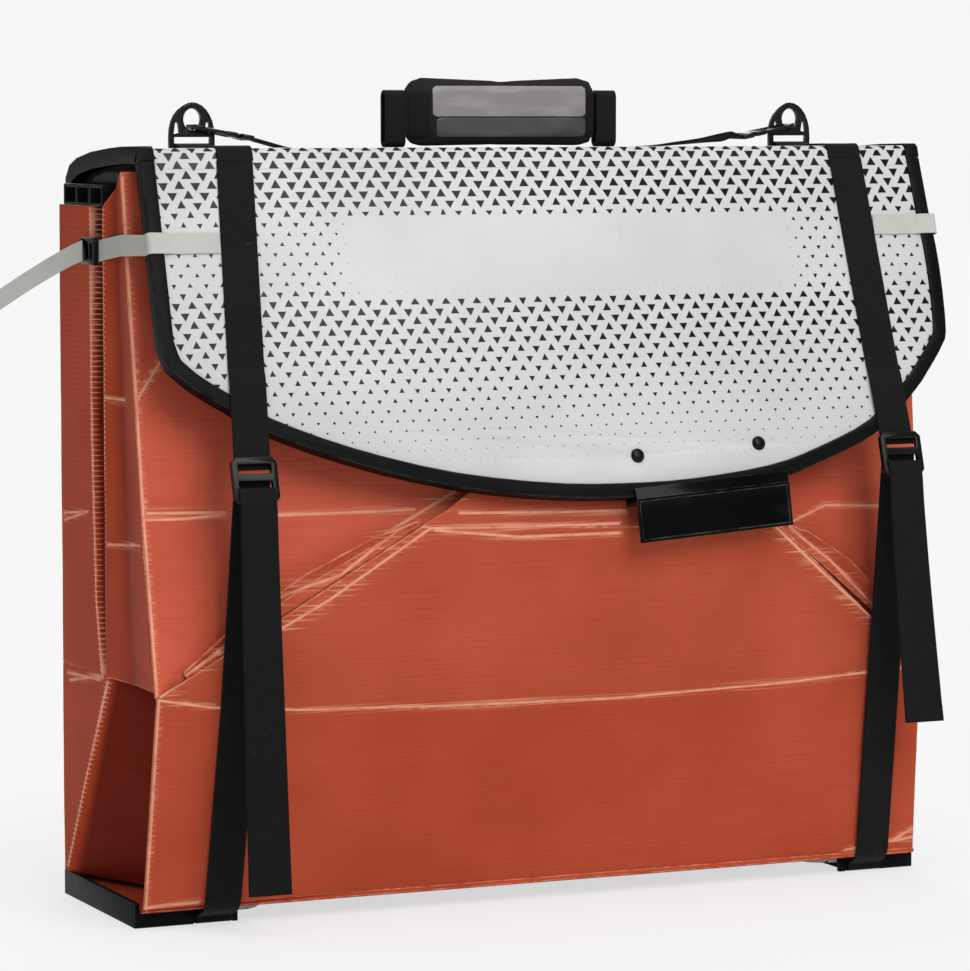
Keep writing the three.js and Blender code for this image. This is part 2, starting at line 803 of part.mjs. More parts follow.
// The base board with its cut-back front edge, and the two black ends that it lies in.
function add_base() {
  const half = box_width / 2 - base_end_wall - fit_gap;
  const front = -base_depth / 2 + base_leg_wall + fit_gap;
  const back = base_depth / 2 - base_leg_wall - fit_gap;
  const left_leg = -box_width / 2 + left_leg_length;
  const right_leg = box_width / 2 - right_leg_length;
  const board = new THREE.Shape();
  board.moveTo(-half, front);
  board.lineTo(left_leg, front);
  board.quadraticCurveTo(left_leg + scallop_run, front, left_leg + scallop_run, front + scallop_depth);
  board.lineTo(right_leg - scallop_run, front + scallop_depth);
  board.quadraticCurveTo(right_leg - scallop_run, front, right_leg, front);
  board.lineTo(half, front);
  board.lineTo(half, back);
  board.lineTo(-half, back);
  board.closePath();
  const board_form = { depth: board_wall, bevelEnabled: false, curveSegments: scallop_steps };
  const board_shape = new THREE.ExtrudeGeometry(board, board_form);
  add_piece("base_board", board_shape.translate(0, 0, base_board_foot), "board");

  const end = (side, leg_length, strap_foot, word) => {
    const outer = side * (box_width / 2);
    const tip = outer - side * leg_length;
    const x0 = Math.min(outer, tip);
    const x1 = Math.max(outer, tip);
    const reach = base_depth / 2;
    const wall_x = outer - side * base_end_wall;
    const ledge_x = wall_x - side * base_ledge_width;
    const span = (a, b) => [Math.min(a, b), Math.max(a, b)];
    const notch = (y0, y1) =>
      block(
        strap_foot - strap_width / 2 - side_clearance,
        strap_foot + strap_width / 2 + side_clearance,
        y0 - cut_overrun,
        y1 + cut_overrun,
        -cut_overrun,
        notch_height
      );
    const shapes = [
      block(...span(outer, wall_x), -reach, reach, 0, base_end_height),
      block(...span(outer, ledge_x), -reach, reach, base_ledge_foot, base_ledge_foot + base_ledge_height),
      block(x0, x1, -reach, -reach + base_leg_wall, 0, base_leg_height),
      block(x0, x1, reach - base_leg_wall, reach, 0, base_leg_height),
    ];
    const cuts = [notch(-reach, -reach + base_leg_wall), notch(reach - base_leg_wall, reach)];
    add_piece(`base_trim_${word}`, joined(shapes, cuts), "edging");
  };
  end(-1, left_leg_length, left_strap_foot, "left");
  end(1, right_leg_length, right_strap_foot, "right");
}

// The lid's outer line in the side view, from the rear hinge over the top to the flap hinge.
const lid_rise = lid_front_height - lid_rear_height;
const flap_lean = Math.atan(flap_slope);
const flap_down = flat(-Math.sin(flap_lean), -Math.cos(flap_lean));
const lid_corner = flat(-lid_front_reach, lid_front_height);
const lid_path = [
  ...lid_reach_shares.map((share, i) =>
    flat(
      share * (share > 0 ? cover_back_reach : lid_front_reach),
      lid_front_height - lid_rise * lid_drop_shares[i] + (i === 0 ? hinge_gap / 2 : 0)
    )
  ),
  lid_corner.clone().add(flat(lid_corner_round, 0)),
  lid_corner.clone().addScaledVector(flap_down, lid_corner_round),
  lid_corner.clone().addScaledVector(flap_down, flap_hinge_drop - hinge_gap / 2),
];

// The flap lies in its own frame: x to the right, y up its slope from the hinge, z out of its printed face.
const flap_frame = new THREE.Group();
const flap_hinge = lid_corner.clone().addScaledVector(flap_down, flap_hinge_drop);
flap_frame.position.set(0, flap_hinge.x, flap_hinge.y);
flap_frame.rotation.x = Math.PI / 2 - flap_lean;
kayak.add(flap_frame);

// The back and the lid, with the edging on both sides of the lid.
function add_lid() {
  const board_half = cover_half_width - edging_width - fit_gap;
  add_piece(
    "cover_back",
    block(
      cover_shift - board_half,
      cover_shift + board_half,
      cover_back_reach - board_wall,
      cover_back_reach,
      board_top + fit_gap,
      lid_rear_height - hinge_gap / 2
    ),
    "board"
  );
  add_piece("cover_lid", straight_band(lid_path, -board_wall, 0, cover_shift, 2 * board_half), "board");
  for (const [side, word] of [[-1, "left"], [1, "right"]]) {
    const middle = cover_shift + side * (cover_half_width - edging_width / 2);
    const edging = straight_band(lid_path, -board_wall - edging_under, edging_proud, middle, edging_width);
    add_piece(`lid_edging_${word}`, edging, "edging");
  }
}

// The flap's lower outline in its frame, from its left side to its right.
const flap_line = new THREE.SplineCurve(
  flap_across_shares.map((across, i) =>
    flat(cover_shift + across * cover_half_width, -flap_down_shares[i] * flap_length)
  )
).getPoints(flap_curve_steps);

// The height of the flap's lower edge at a place across.
function flap_curve(x) {
  const i = flap_line.findIndex((point) => point.x > x);
  const a = flap_line[i - 1];
  const b = flap_line[i];
  return mix(a.y, b.y, (x - a.x) / (b.x - a.x));
}

// A point of the flap's frame in the part's own.
function flap_point(x, y, z) {
  flap_frame.updateMatrix();
  return at(x, y, z).applyMatrix4(flap_frame.matrix);
}

// The outline of the flap below its hinge, inset by a distance: left side, lower curve, right side.
function flap_outline(inset) {
  const top = -hinge_gap / 2;
  const line = [
    flat(cover_shift - cover_half_width, top),
    ...flap_line,
    flat(cover_shift + cover_half_width, top),
  ];
  const moved = offset_path(line, -inset);
  moved[0].y = top;
  moved[moved.length - 1].y = top;
  return moved;
}

function add_flap() {
  const outer = flap_outline(0);
  const groove = flap_outline(edging_width);
  const edge = flap_outline(edging_width + fit_gap);
  const board = new THREE.Shape(edge);
  for (const [x, drop] of [[rivet_left, rivet_left_drop], [rivet_right, rivet_right_drop]]) {
    const hole = new THREE.Path();
    hole.absarc(x, -(drop - flap_hinge_drop), rivet_shank_radius + fit_gap, 0, 2 * Math.PI);
    board.holes.push(hole);
  }
  const board_form = { depth: board_wall, bevelEnabled: false, curveSegments: hole_steps };
  const board_shape = new THREE.ExtrudeGeometry(board, board_form);
  add_piece("flap_board", board_shape.translate(0, 0, -board_wall), "board", flap_frame);

  const edging = new THREE.Shape([...outer, ...groove.reverse()]);
  const edging_depth = edging_proud + board_wall + edging_under;
  const edging_shape = new THREE.ExtrudeGeometry(edging, { depth: edging_depth, bevelEnabled: false });
  add_piece("flap_edging", edging_shape.translate(0, 0, edging_proud - edging_depth), "edging", flap_frame);
}

// The two rivets, each one domed over the print and spread behind the clip's tongue.
function add_rivet(word, x, drop) {
  const behind = -board_wall - fit_gap - clip_wall - fit_gap;
  const dome = [];
  for (let i = 0; i < rivet_dome_steps; i += 1) {
    const angle = (i / rivet_dome_steps) * (Math.PI / 2);
    dome.push(flat(rivet_head_radius * Math.cos(angle), fit_gap + rivet_head_rise * Math.sin(angle)));
  }
  const profile = [
    flat(0, behind - rivet_tail_rise),
    flat(rivet_tail_radius, behind - rivet_tail_rise),
    flat(rivet_tail_radius, behind),
    flat(rivet_shank_radius, behind),
    flat(rivet_shank_radius, fit_gap),
    ...dome,
    flat(0, fit_gap + rivet_head_rise),
  ];
  const geometry = new THREE.LatheGeometry(profile, rivet_sides).rotateX(Math.PI / 2);
  add_piece(`flap_rivet_${word}`, geometry.translate(x, -(drop - flap_hinge_drop), 0), "moulded", flap_frame);
}

// The clip: a tongue behind the board, a step behind the edging and a plate that hangs below it.
function add_clip() {
  const middle = (clip_left + clip_right) / 2;
  const edge_y = flap_curve(middle);
  const back = -board_wall - fit_gap - clip_wall / 2;
  const step = -board_wall - edging_under - fit_gap - clip_wall / 2;
  const edging_top = edge_y + edging_width + clip_bow;
  const front = edging_proud + clip_lip_rise;
  const line = [
    flat(edging_top + clip_ramp + clip_tongue_rise, back),
    flat(edging_top + clip_ramp, back),
    flat(edging_top, step),
    flat(edge_y - clip_drop, step),
    flat(edge_y - clip_drop, front),
    flat(edge_y - clip_drop - clip_plate_length, front - clip_plate_lean),
  ];
  const width = clip_right - clip_left;
  const plate = straight_band(line, -clip_wall / 2, clip_wall / 2, 0, width);
  const lip_foot = edge_y - clip_drop;
  const lip = block(
    -width / 2,
    width / 2,
    lip_foot,
    lip_foot + clip_lip_height,
    front - clip_wall / 2,
    front + clip_wall / 2
  );
  const tilt = new THREE.Matrix4().makeRotationZ(Math.atan(clip_tilt));
  for (const shape of [plate, lip]) {
    shape.translate(0, -edge_y, 0).applyMatrix4(tilt).translate(middle, edge_y, 0);
  }
  const holes = [[rivet_left, rivet_left_drop], [rivet_right, rivet_right_drop]].map(([x, drop]) => {
    const radius = rivet_shank_radius + fit_gap;
    const hole = new THREE.CylinderGeometry(radius, radius, 2 * board_wall + 2 * clip_wall, rivet_sides);
    return hole.rotateX(Math.PI / 2).translate(x, flap_hinge_drop - drop, back);
  });
  add_piece("flap_clip", joined([plate, lip], holes), "moulded", flap_frame);
}

// A ladder-lock buckle: a flat frame whose slots lie between its bars, drawn from its top bar down.
function buckle_shape(width, length, bar, side_bar, slot, corner) {
  const half = width / 2;
  const shape = new THREE.Shape();
  shape.moveTo(-half + corner, 0);
  shape.lineTo(-half, -corner);
  shape.lineTo(-half, corner - length);
  shape.lineTo(-half + corner, -length);
  shape.lineTo(half - corner, -length);
  shape.lineTo(half, corner - length);
  shape.lineTo(half, -corner);
  shape.lineTo(half - corner, 0);
  shape.closePath();
  for (const top of [-bar, -2 * bar - slot]) {
    const inner = half - side_bar;
    const foot = top - slot;
    shape.holes.push(new THREE.Path([flat(-inner, top), flat(inner, top), flat(inner, foot), flat(-inner, foot)]));
  }
  return shape;
}

// The strap over the lid: along the lid's line, with a hump over the ring's lower bar.
function lid_height(y) {
  const i = lid_path.findIndex((point) => point.x < y);
  const a = lid_path[i - 1];
  const b = lid_path[i];
  return mix(a.y, b.y, (y - a.x) / (b.x - a.x));
}
const ring_foot = lid_height(ring_back) + ring_lift;
const ring_half = ring_wall / 2 + strap_slack;

function add_box_strap(word, top_x, drift, foot_x, buckle_drop) {
  const low = fit_gap;
  const high = fit_gap + strap_wall;
  const humps = [
    flat(ring_back + ring_half + ring_ramp, lid_height(ring_back + ring_half + ring_ramp)),
    flat(ring_back + ring_half, ring_foot + ring_bar),
    flat(ring_back - ring_half, ring_foot + ring_bar),
    flat(ring_back - ring_half - ring_ramp, lid_height(ring_back - ring_half - ring_ramp)),
  ];
  const before = lid_path.filter((point) => point.x > humps[0].x);
  const after = lid_path.filter((point) => point.x < humps[3].x);
  const lid_run = straight_band([...before, ...humps, ...after], low, high, top_x, strap_width);
  add_piece(`strap_lid_${word}`, lid_run, "webbing");

  // Down the flap, up over the edging, and behind the top bar of the buckle.
  const side = Math.sign(top_x);
  const strap_x = (drop) => top_x + side * drift * (drop / (buckle_drop + buckle_length / 2));
  const buckle_x = strap_x(buckle_drop + buckle_length / 2);
  const outer_edge = strap_x(buckle_drop) + (side * strap_width) / 2;
  const edging_start = flap_curve(outer_edge) + 2 * edging_width;
  const run = [
    flat(-hinge_gap / 2, 0),
    flat(edging_start + strap_ramp, 0),
    flat(edging_start, edging_proud),
    flat(flap_hinge_drop - buckle_drop - buckle_bar - buckle_slot / 2, edging_proud),
  ];
  const flap_middles = run.map((point) => strap_x(flap_hinge_drop - point.x));
  add_piece(`strap_flap_${word}`, band(run, low, high, flap_middles, strap_width), "webbing", flap_frame);

  // The buckle rests on the strap.
  const buckle_foot = edging_proud + high + fit_gap;
  const shape = buckle_shape(
    buckle_width,
    buckle_length,
    buckle_bar,
    buckle_side_bar,
    buckle_slot,
    buckle_corner
  );
  const buckle = new THREE.ExtrudeGeometry(shape, { depth: buckle_wall, bevelEnabled: false });
  add_piece(
    `buckle_${word}`,
    buckle.translate(buckle_x, flap_hinge_drop - buckle_drop, buckle_foot),
    "moulded",
    flap_frame
  );

  // The loose end hangs straight down in front of the buckle's lower bar.
  const length = side < 0 ? left_tail_length : right_tail_length;
  const tail_drift = side < 0 ? left_tail_drift : right_tail_drift;
  const tail_out = buckle_foot + buckle_wall + fit_gap;
  const buckle_end = flap_hinge_drop - buckle_drop - buckle_length;
  const tail_root = flap_point(0, buckle_end + 2 * buckle_bar, tail_out);
  const tail_top = flap_point(0, buckle_end - strap_slack, tail_out);
  const hang = [...tail_hang_shares, 1 - tail_tip_length / length, 1];
  const tail_line = [
    flat(tail_root.y, tail_root.z),
    ...hang.map((share) => flat(tail_top.y + tail_sway * share ** 2, tail_top.z - length * share)),
  ];
  const tail_middles = [buckle_x, ...hang.map((share) => buckle_x + tail_drift * share ** tail_drift_power)];
  const tail_widths = [strap_width, ...hang.map((share) => strap_width + tail_tip_flare * share)];
  const tail = band(tail_line, 0, strap_wall, tail_middles, strap_width, tail_widths);
  add_piece(`strap_tail_${word}`, tail, "webbing");

  // The rest of the loop: from under the buckle down the front, under the base and up the back.
  const [inner, outer] = [-side, side].map((way) => crease_at(foot_x + way * strap_width));
  const crease = inner.y < outer.y ? inner : outer;
  const foot_reach = Math.max(-front_foot_y(foot_x - strap_width / 2), front_foot_reach);
  const start = flap_point(0, flap_hinge_drop - buckle_drop - buckle_bar - buckle_slot, edging_proud);
  const under = fit_gap + strap_wall + fit_gap;
  const loop_line = [
    flat(start.y, start.z),
    flat(crease.y - strap_slack, crease.z),
    flat(-foot_reach - 2 * strap_slack, front_foot_height - sheet_wall),
    flat(-base_depth / 2 - fit_gap, base_ledge_foot + base_ledge_height),
    flat(-base_depth / 2 - fit_gap, under),
    flat(base_depth / 2 + fit_gap, under),
    flat(cover_back_reach + fit_gap, under + strap_under_run),
    flat(cover_back_reach, lid_rear_height - hinge_gap / 2),
  ];
  const crease_x = mix(buckle_x, foot_x, loop_bend_share);
  const loop_middles = loop_line.map((_, i) => [buckle_x, crease_x][i] ?? foot_x);
  loop_middles[loop_middles.length - 1] = top_x;
  add_piece(`strap_loop_${word}`, band(loop_line, low, high, loop_middles, strap_width), "webbing");
}

// A grey strap from the box strap's edge, over the flap's edging and round the side to its buckle.
function add_side_strap(side, word, top_x, drift, drop) {
  const y = flap_hinge_drop - drop;
  const half_wall = side_strap_wall / 2;
  const strap_edge = top_x + side * ((drift * drop) / left_buckle_drop + strap_width / 2 + 2 * fit_gap);
  const widest = Math.max(...flap_across_shares.map((share) => side * share));
  const edge_x = cover_shift + side * cover_half_width * widest;
  const inner_x = edge_x - side * (edging_width + strap_ramp + side_strap_margin);
  const up = at(0, Math.sin(flap_lean), Math.cos(flap_lean));
  const level = at(0, 0, 1);
  const on_board = fit_gap + half_wall;
  const on_edging = edging_proud + on_board;
  const wrap = on_board + strap_slack;
  const face_x = Math.max(box_width / 2, side * edge_x) + on_board + fit_gap;
  const level_z = flap_point(0, y, 0).z;
  const ridge = ridge_point(side, level_z);
  const on_face = (place_y, sink_share) => ({
    place: at(side * face_x, place_y, level_z - side_strap_sink * sink_share),
    across: level,
  });
  const stations = [
    { place: flap_point(strap_edge, y, on_board), across: up },
    { place: flap_point(inner_x, y, on_board), across: up },
    { place: flap_point(inner_x + side * strap_ramp, y, on_edging), across: up },
    { place: flap_point(edge_x, y, on_edging + side_strap_wall), across: up },
    { place: flap_point(edge_x + side * wrap, y, edging_proud - strap_slack), across: up },
    { place: flap_point(edge_x + side * wrap, y, -board_wall), across: up },
    on_face(ridge.y + side_buckle_bar, side_strap_sink_shares[0]),
    on_face(-side_buckle_reach - side_strap_width / 2, side_strap_sink_shares[1]),
    on_face(-side_buckle_reach + side_buckle_bar, side_strap_sink_shares[2]),
  ];
  add_piece(`side_strap_${word}`, ribbon(stations, side_strap_width, side_strap_wall), "grey_webbing");

  const buckle_x = face_x + half_wall + fit_gap;
  const shape = buckle_shape(
    side_buckle_width,
    side_buckle_length,
    side_buckle_bar,
    side_buckle_bar,
    side_buckle_slot,
    side_buckle_bar / 2
  );
  const buckle = new THREE.ExtrudeGeometry(shape, { depth: side_buckle_wall, bevelEnabled: false });
  const turned = new THREE.Matrix4().makeBasis(at(0, 0, 1), at(0, -1, 0), at(side, 0, 0));
  if (side < 0) {
    turned.makeBasis(at(0, 0, -1), at(0, -1, 0), at(-1, 0, 0));
  }
  const centre_z = level_z - side_strap_sink;
  buckle.applyMatrix4(turned).translate(side * buckle_x, -side_buckle_reach, centre_z);
  add_piece(`side_buckle_${word}`, buckle, "moulded");

  const tail_x = buckle_x + side_buckle_wall + fit_gap + half_wall;
  const tail_y = -side_buckle_reach + side_buckle_length - 2 * side_buckle_bar;
  const tail = side_tail_shares.map((share) => ({
    place: at(
      side * (tail_x + side_tail_splay * share ** side_tail_splay_power),
      tail_y + side_tail_run * share,
      centre_z - side_tail_sink * share ** side_tail_sink_power
    ),
    across: level,
  }));
  add_piece(`side_tail_${word}`, ribbon(tail, side_strap_width, side_strap_wall), "grey_webbing");
}

// A ring that stands on the box strap: an arch with a slot for the strap, an eye and two windows.
function add_ring(word, x) {
  const half = ring_width / 2;
  const outline = [flat(-half, 0), flat(half, 0)];
  for (let i = 0; i <= ring_steps; i += 1) {
    const angle = (i / ring_steps) * Math.PI;
    const rise = ring_shoulder + (ring_height - ring_shoulder) * Math.sin(angle);
    outline.push(flat(half * Math.cos(angle), rise));
  }
  const shape = new THREE.Shape(outline);
  const slot_half = half - ring_slot_side;
  const slot_top = ring_bar + ring_slot_height;
  shape.holes.push(
    new THREE.Path([
      flat(-slot_half, ring_bar),
      flat(slot_half, ring_bar),
      flat(slot_half, slot_top),
      flat(-slot_half, slot_top),
    ])
  );
  const eye = [];
  for (let i = 0; i < 2 * ring_steps; i += 1) {
    const angle = (i / ring_steps) * Math.PI;
    const rise = ring_eye_foot + (ring_eye_height / 2) * (1 + Math.sin(angle));
    eye.push(flat((ring_eye_width / 2) * Math.cos(angle), rise));
  }
  shape.holes.push(new THREE.Path(eye));
  const w = ring_window_shares;
  for (const side of [-1, 1]) {
    const corner = (i) => flat(side * half * w[i], ring_height * w[i + 1]);
    shape.holes.push(new THREE.Path([corner(0), corner(2), corner(4), corner(6)]));
  }
  const ring = new THREE.ExtrudeGeometry(shape, { depth: ring_wall, bevelEnabled: false });
  ring.rotateX(Math.PI / 2).translate(x, ring_back + ring_wall / 2, ring_foot);
  add_piece(`ring_${word}`, ring, "moulded");
}

// The matrix that lays a snap hook from its ring's eye to the carry strap.
function hook_matrix(side, x) {
  const run = hook_loop_length + hook_neck_length + hook_eye_length;
  const along = at(-side * run, 0, -hook_fall).normalize();
  const over = at(0, 1, 0);
  const up = along.clone().cross(over);
  const place = new THREE.Matrix4().makeBasis(along, over, up);
  return place.setPosition(x + side * hook_nose_set, ring_back, ring_foot + hook_nose_height);
}

// The snap hook through a ring's eye, with its gate.
function add_hook(side, word, x) {
  const half = hook_half_width;
  const inner = half - hook_bar;
  const neck = hook_loop_length;
  const eye = neck + hook_neck_length;
  const end = eye + hook_eye_length;
  const shape = new THREE.Shape([
    flat(gate_end, -half),
    flat(neck, -half),
    flat(neck, -hook_neck_half),
    flat(eye, -hook_neck_half),
    flat(eye, -hook_eye_half),
    flat(end, -hook_eye_half),
    flat(end, hook_eye_half),
    flat(eye, hook_eye_half),
    flat(eye, hook_neck_half),
    flat(neck, hook_neck_half),
    flat(neck, half),
    flat(hook_chamfer, half),
    flat(0, half - hook_chamfer),
    flat(0, hook_chamfer - half),
    flat(hook_chamfer, -half),
    flat(gate_start, -half),
    flat(gate_start, -inner),
    flat(hook_bar, -inner),
    flat(hook_bar, inner),
    flat(neck - hook_bar, inner),
    flat(neck - hook_bar, -inner),
    flat(gate_end, -inner),
  ]);
  const eye_inner = hook_eye_half - hook_eye_bar;
  shape.holes.push(
    new THREE.Path([
      flat(eye + hook_eye_bar, -eye_inner),
      flat(end - hook_eye_bar, -eye_inner),
      flat(end - hook_eye_bar, eye_inner),
      flat(eye + hook_eye_bar, eye_inner),
    ])
  );
  const place = hook_matrix(side, x);
  const hook = new THREE.ExtrudeGeometry(shape, { depth: hook_wall, bevelEnabled: false });
  add_piece(`hook_${word}`, hook.translate(0, 0, -hook_wall / 2).applyMatrix4(place), "moulded");
  const gate = block(
    gate_start + fit_gap,
    gate_end - fit_gap,
    -half + fit_gap,
    -inner - fit_gap,
    -gate_wall / 2,
    gate_wall / 2
  );
  add_piece(`hook_gate_${word}`, gate.applyMatrix4(place), "moulded");
}

// The webbing between the hooks, which lies on the lid under the pad.
const carry_height = lid_height(ring_back - carry_width / 2) + fit_gap + carry_wall / 2;
function add_carry_strap() {
  const z = carry_height;
  const run = hook_loop_length + hook_neck_length + hook_eye_length + 2 * fit_gap;
  const left_end = at(run, 0, 0).applyMatrix4(hook_matrix(-1, left_strap_top));
  const right_end = at(run, 0, 0).applyMatrix4(hook_matrix(1, right_strap_top));
  const across = at(0, 1, 0);
  const left_foot = at(left_end.x + carry_left_ramp, ring_back, z);
  const right_foot = at(right_end.x - carry_right_ramp, ring_back, z);
  const places = [
    left_end,
    left_end.clone().lerp(left_foot, halfway_share),
    left_foot,
    at(0, ring_back, z),
    right_foot,
    right_end.clone().lerp(right_foot, halfway_share),
    right_end,
  ];
  const stations = places.map((place) => ({ place, across }));
  add_piece("carry_strap", ribbon(stations, carry_width, carry_wall), "webbing");
}

// The shoulder pad stands on its long edge over the webbing, with a folded loop at each end.
function add_pad() {
  const foot = carry_height + carry_wall / 2 + fit_gap;
  const middle_x = (pad_left + pad_right) / 2;
  const half_x = (pad_right - pad_left) / 2;
  const face = (sense) => {
    const rows = [];
    for (let r = 0; r <= pad_rows; r += 1) {
      const v = Math.sin((Math.PI / 2) * ((2 * r) / pad_rows - 1));
      const past_straight = Math.max(((Math.abs(v) - 1) * pad_height) / 2 + pad_corner_radius, 0);
      const into_corner = past_straight / pad_corner_radius;
      const reach = half_x - pad_corner_radius * (1 - Math.sqrt(1 - into_corner * into_corner));
      const row = [];
      for (let c = 0; c <= pad_columns; c += 1) {
        const u = (2 * c) / pad_columns - 1;
        const crown = mix(pad_rim_share, 1, (1 - u ** pad_crown_power) * (1 - v ** pad_roll_power));
        row.push(
          at(
            middle_x + reach * u,
            ring_back + (sense * pad_depth * crown) / 2,
            foot + (pad_height / 2) * (1 + v)
          )
        );
      }
      rows.push(row);
    }
    return rows;
  };
  add_piece("pad", grid_solid(face(-1), face(1)), "pad_cloth");

  for (const [word, x] of [
    ["left", pad_left - pad_loop_width - fit_gap],
    ["right", pad_right + fit_gap],
  ]) {
    const half = pad_loop_depth / 2;
    const racetrack = (inset, Type) => {
      const path = new Type();
      const radius = half - inset;
      path.absarc(0, half, radius, Math.PI, 2 * Math.PI);
      path.absarc(0, pad_loop_height - half, radius, 0, Math.PI);
      path.closePath();
      return path;
    };
    const shape = racetrack(0, THREE.Shape);
    shape.holes.push(racetrack(pad_loop_wall, THREE.Path));
    const loop_form = { depth: pad_loop_width, bevelEnabled: false, curveSegments: loop_steps };
    const loop = new THREE.ExtrudeGeometry(shape, loop_form);
    const upright = new THREE.Matrix4().makeBasis(at(0, 1, 0), at(0, 0, 1), at(1, 0, 0));
    add_piece(`pad_loop_${word}`, loop.applyMatrix4(upright).translate(x, ring_back, foot), "webbing");
  }
}

add_front_panels();
add_pleat(-1, "left");
add_pleat(1, "right");
add_side(-1, "left");
add_side(1, "right");
add_hull_core();
add_seam_rails();
add_deck_pad();
add_stowed_parts();
add_base();
add_lid();
add_flap();
add_rivet("left", rivet_left, rivet_left_drop);
add_rivet("right", rivet_right, rivet_right_drop);
add_clip();
add_box_strap("left", left_strap_top, left_strap_drift, left_strap_foot, left_buckle_drop);
add_box_strap("right", right_strap_top, right_strap_drift, right_strap_foot, right_buckle_drop);
add_side_strap(-1, "left", left_strap_top, left_strap_drift, left_side_strap_drop);
add_side_strap(1, "right", right_strap_top, right_strap_drift, right_side_strap_drop);
add_ring("left", left_strap_top);
add_ring("right", right_strap_top);
add_hook(-1, "left", left_strap_top);
add_hook(1, "right", right_strap_top);
add_carry_strap();
add_pad();

// The frame's origin: the middle of the part's outer box, at its foot.
const bounds = new THREE.Box3().setFromObject(kayak, true);
const centre = bounds.getCenter(at(0, 0, 0));
kayak.position.set(-centre.x, -centre.y, -bounds.min.z);

export default kayak;
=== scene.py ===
"""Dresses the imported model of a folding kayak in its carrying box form.

The frame gives every solid in metres, +X to the right of the front, +Y to the back and +Z up.
Tables of places are in millimetres of the same frame.
"""
import logging
import math
from contextlib import contextmanager
from dataclasses import dataclass, field
from enum import Enum
from functools import reduce
from typing import Iterator, Sequence

import bpy
from mathutils import Matrix, Vector, noise


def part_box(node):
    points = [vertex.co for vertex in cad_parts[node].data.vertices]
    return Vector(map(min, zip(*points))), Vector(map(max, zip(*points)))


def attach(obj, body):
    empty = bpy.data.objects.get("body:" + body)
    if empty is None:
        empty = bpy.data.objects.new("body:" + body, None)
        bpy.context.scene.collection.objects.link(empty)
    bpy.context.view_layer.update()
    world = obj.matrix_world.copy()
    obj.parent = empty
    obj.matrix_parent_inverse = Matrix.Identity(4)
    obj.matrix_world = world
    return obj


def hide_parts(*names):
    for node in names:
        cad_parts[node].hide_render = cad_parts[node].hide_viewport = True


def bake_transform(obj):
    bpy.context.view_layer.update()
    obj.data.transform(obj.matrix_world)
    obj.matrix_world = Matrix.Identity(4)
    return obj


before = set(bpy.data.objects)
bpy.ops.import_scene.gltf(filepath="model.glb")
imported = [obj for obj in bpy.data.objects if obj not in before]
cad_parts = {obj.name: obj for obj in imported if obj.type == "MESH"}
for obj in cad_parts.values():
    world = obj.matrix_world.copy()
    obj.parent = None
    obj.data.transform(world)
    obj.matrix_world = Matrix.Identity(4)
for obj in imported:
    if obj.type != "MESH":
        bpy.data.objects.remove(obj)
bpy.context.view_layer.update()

logging.basicConfig(level=logging.INFO, format="%(message)s")
log = logging.getLogger("kayak")

MM = 0.001
SIDES = ("left", "right")
Flat = tuple[float, float]
Line = tuple[Flat, ...]
Place = tuple[float, float, float]
Station = tuple[float, ...]
Socket = bpy.types.NodeSocket
Value = Socket | float | tuple
Feeds = dict[str | int, Value]
Given = bpy.types.bpy_prop_collection

FLAP_DOWN: Place = (0.0, -0.28735, -0.95783)
FLAP_OUT: Place = (0.0, -0.95783, 0.28735)
FLAP_EDGE: Place = (-2.246, -54.36, 721.03)


def shade(code: str) -> tuple[float, float, float, float]:
    """The linear colour of a six-digit screen colour."""
    parts = [int(code[i : i + 2], 16) / 255 for i in (0, 2, 4)]
    return (*[p / 12.92 if p <= 0.04045 else ((p + 0.055) / 1.055) ** 2.4 for p in parts], 1.0)


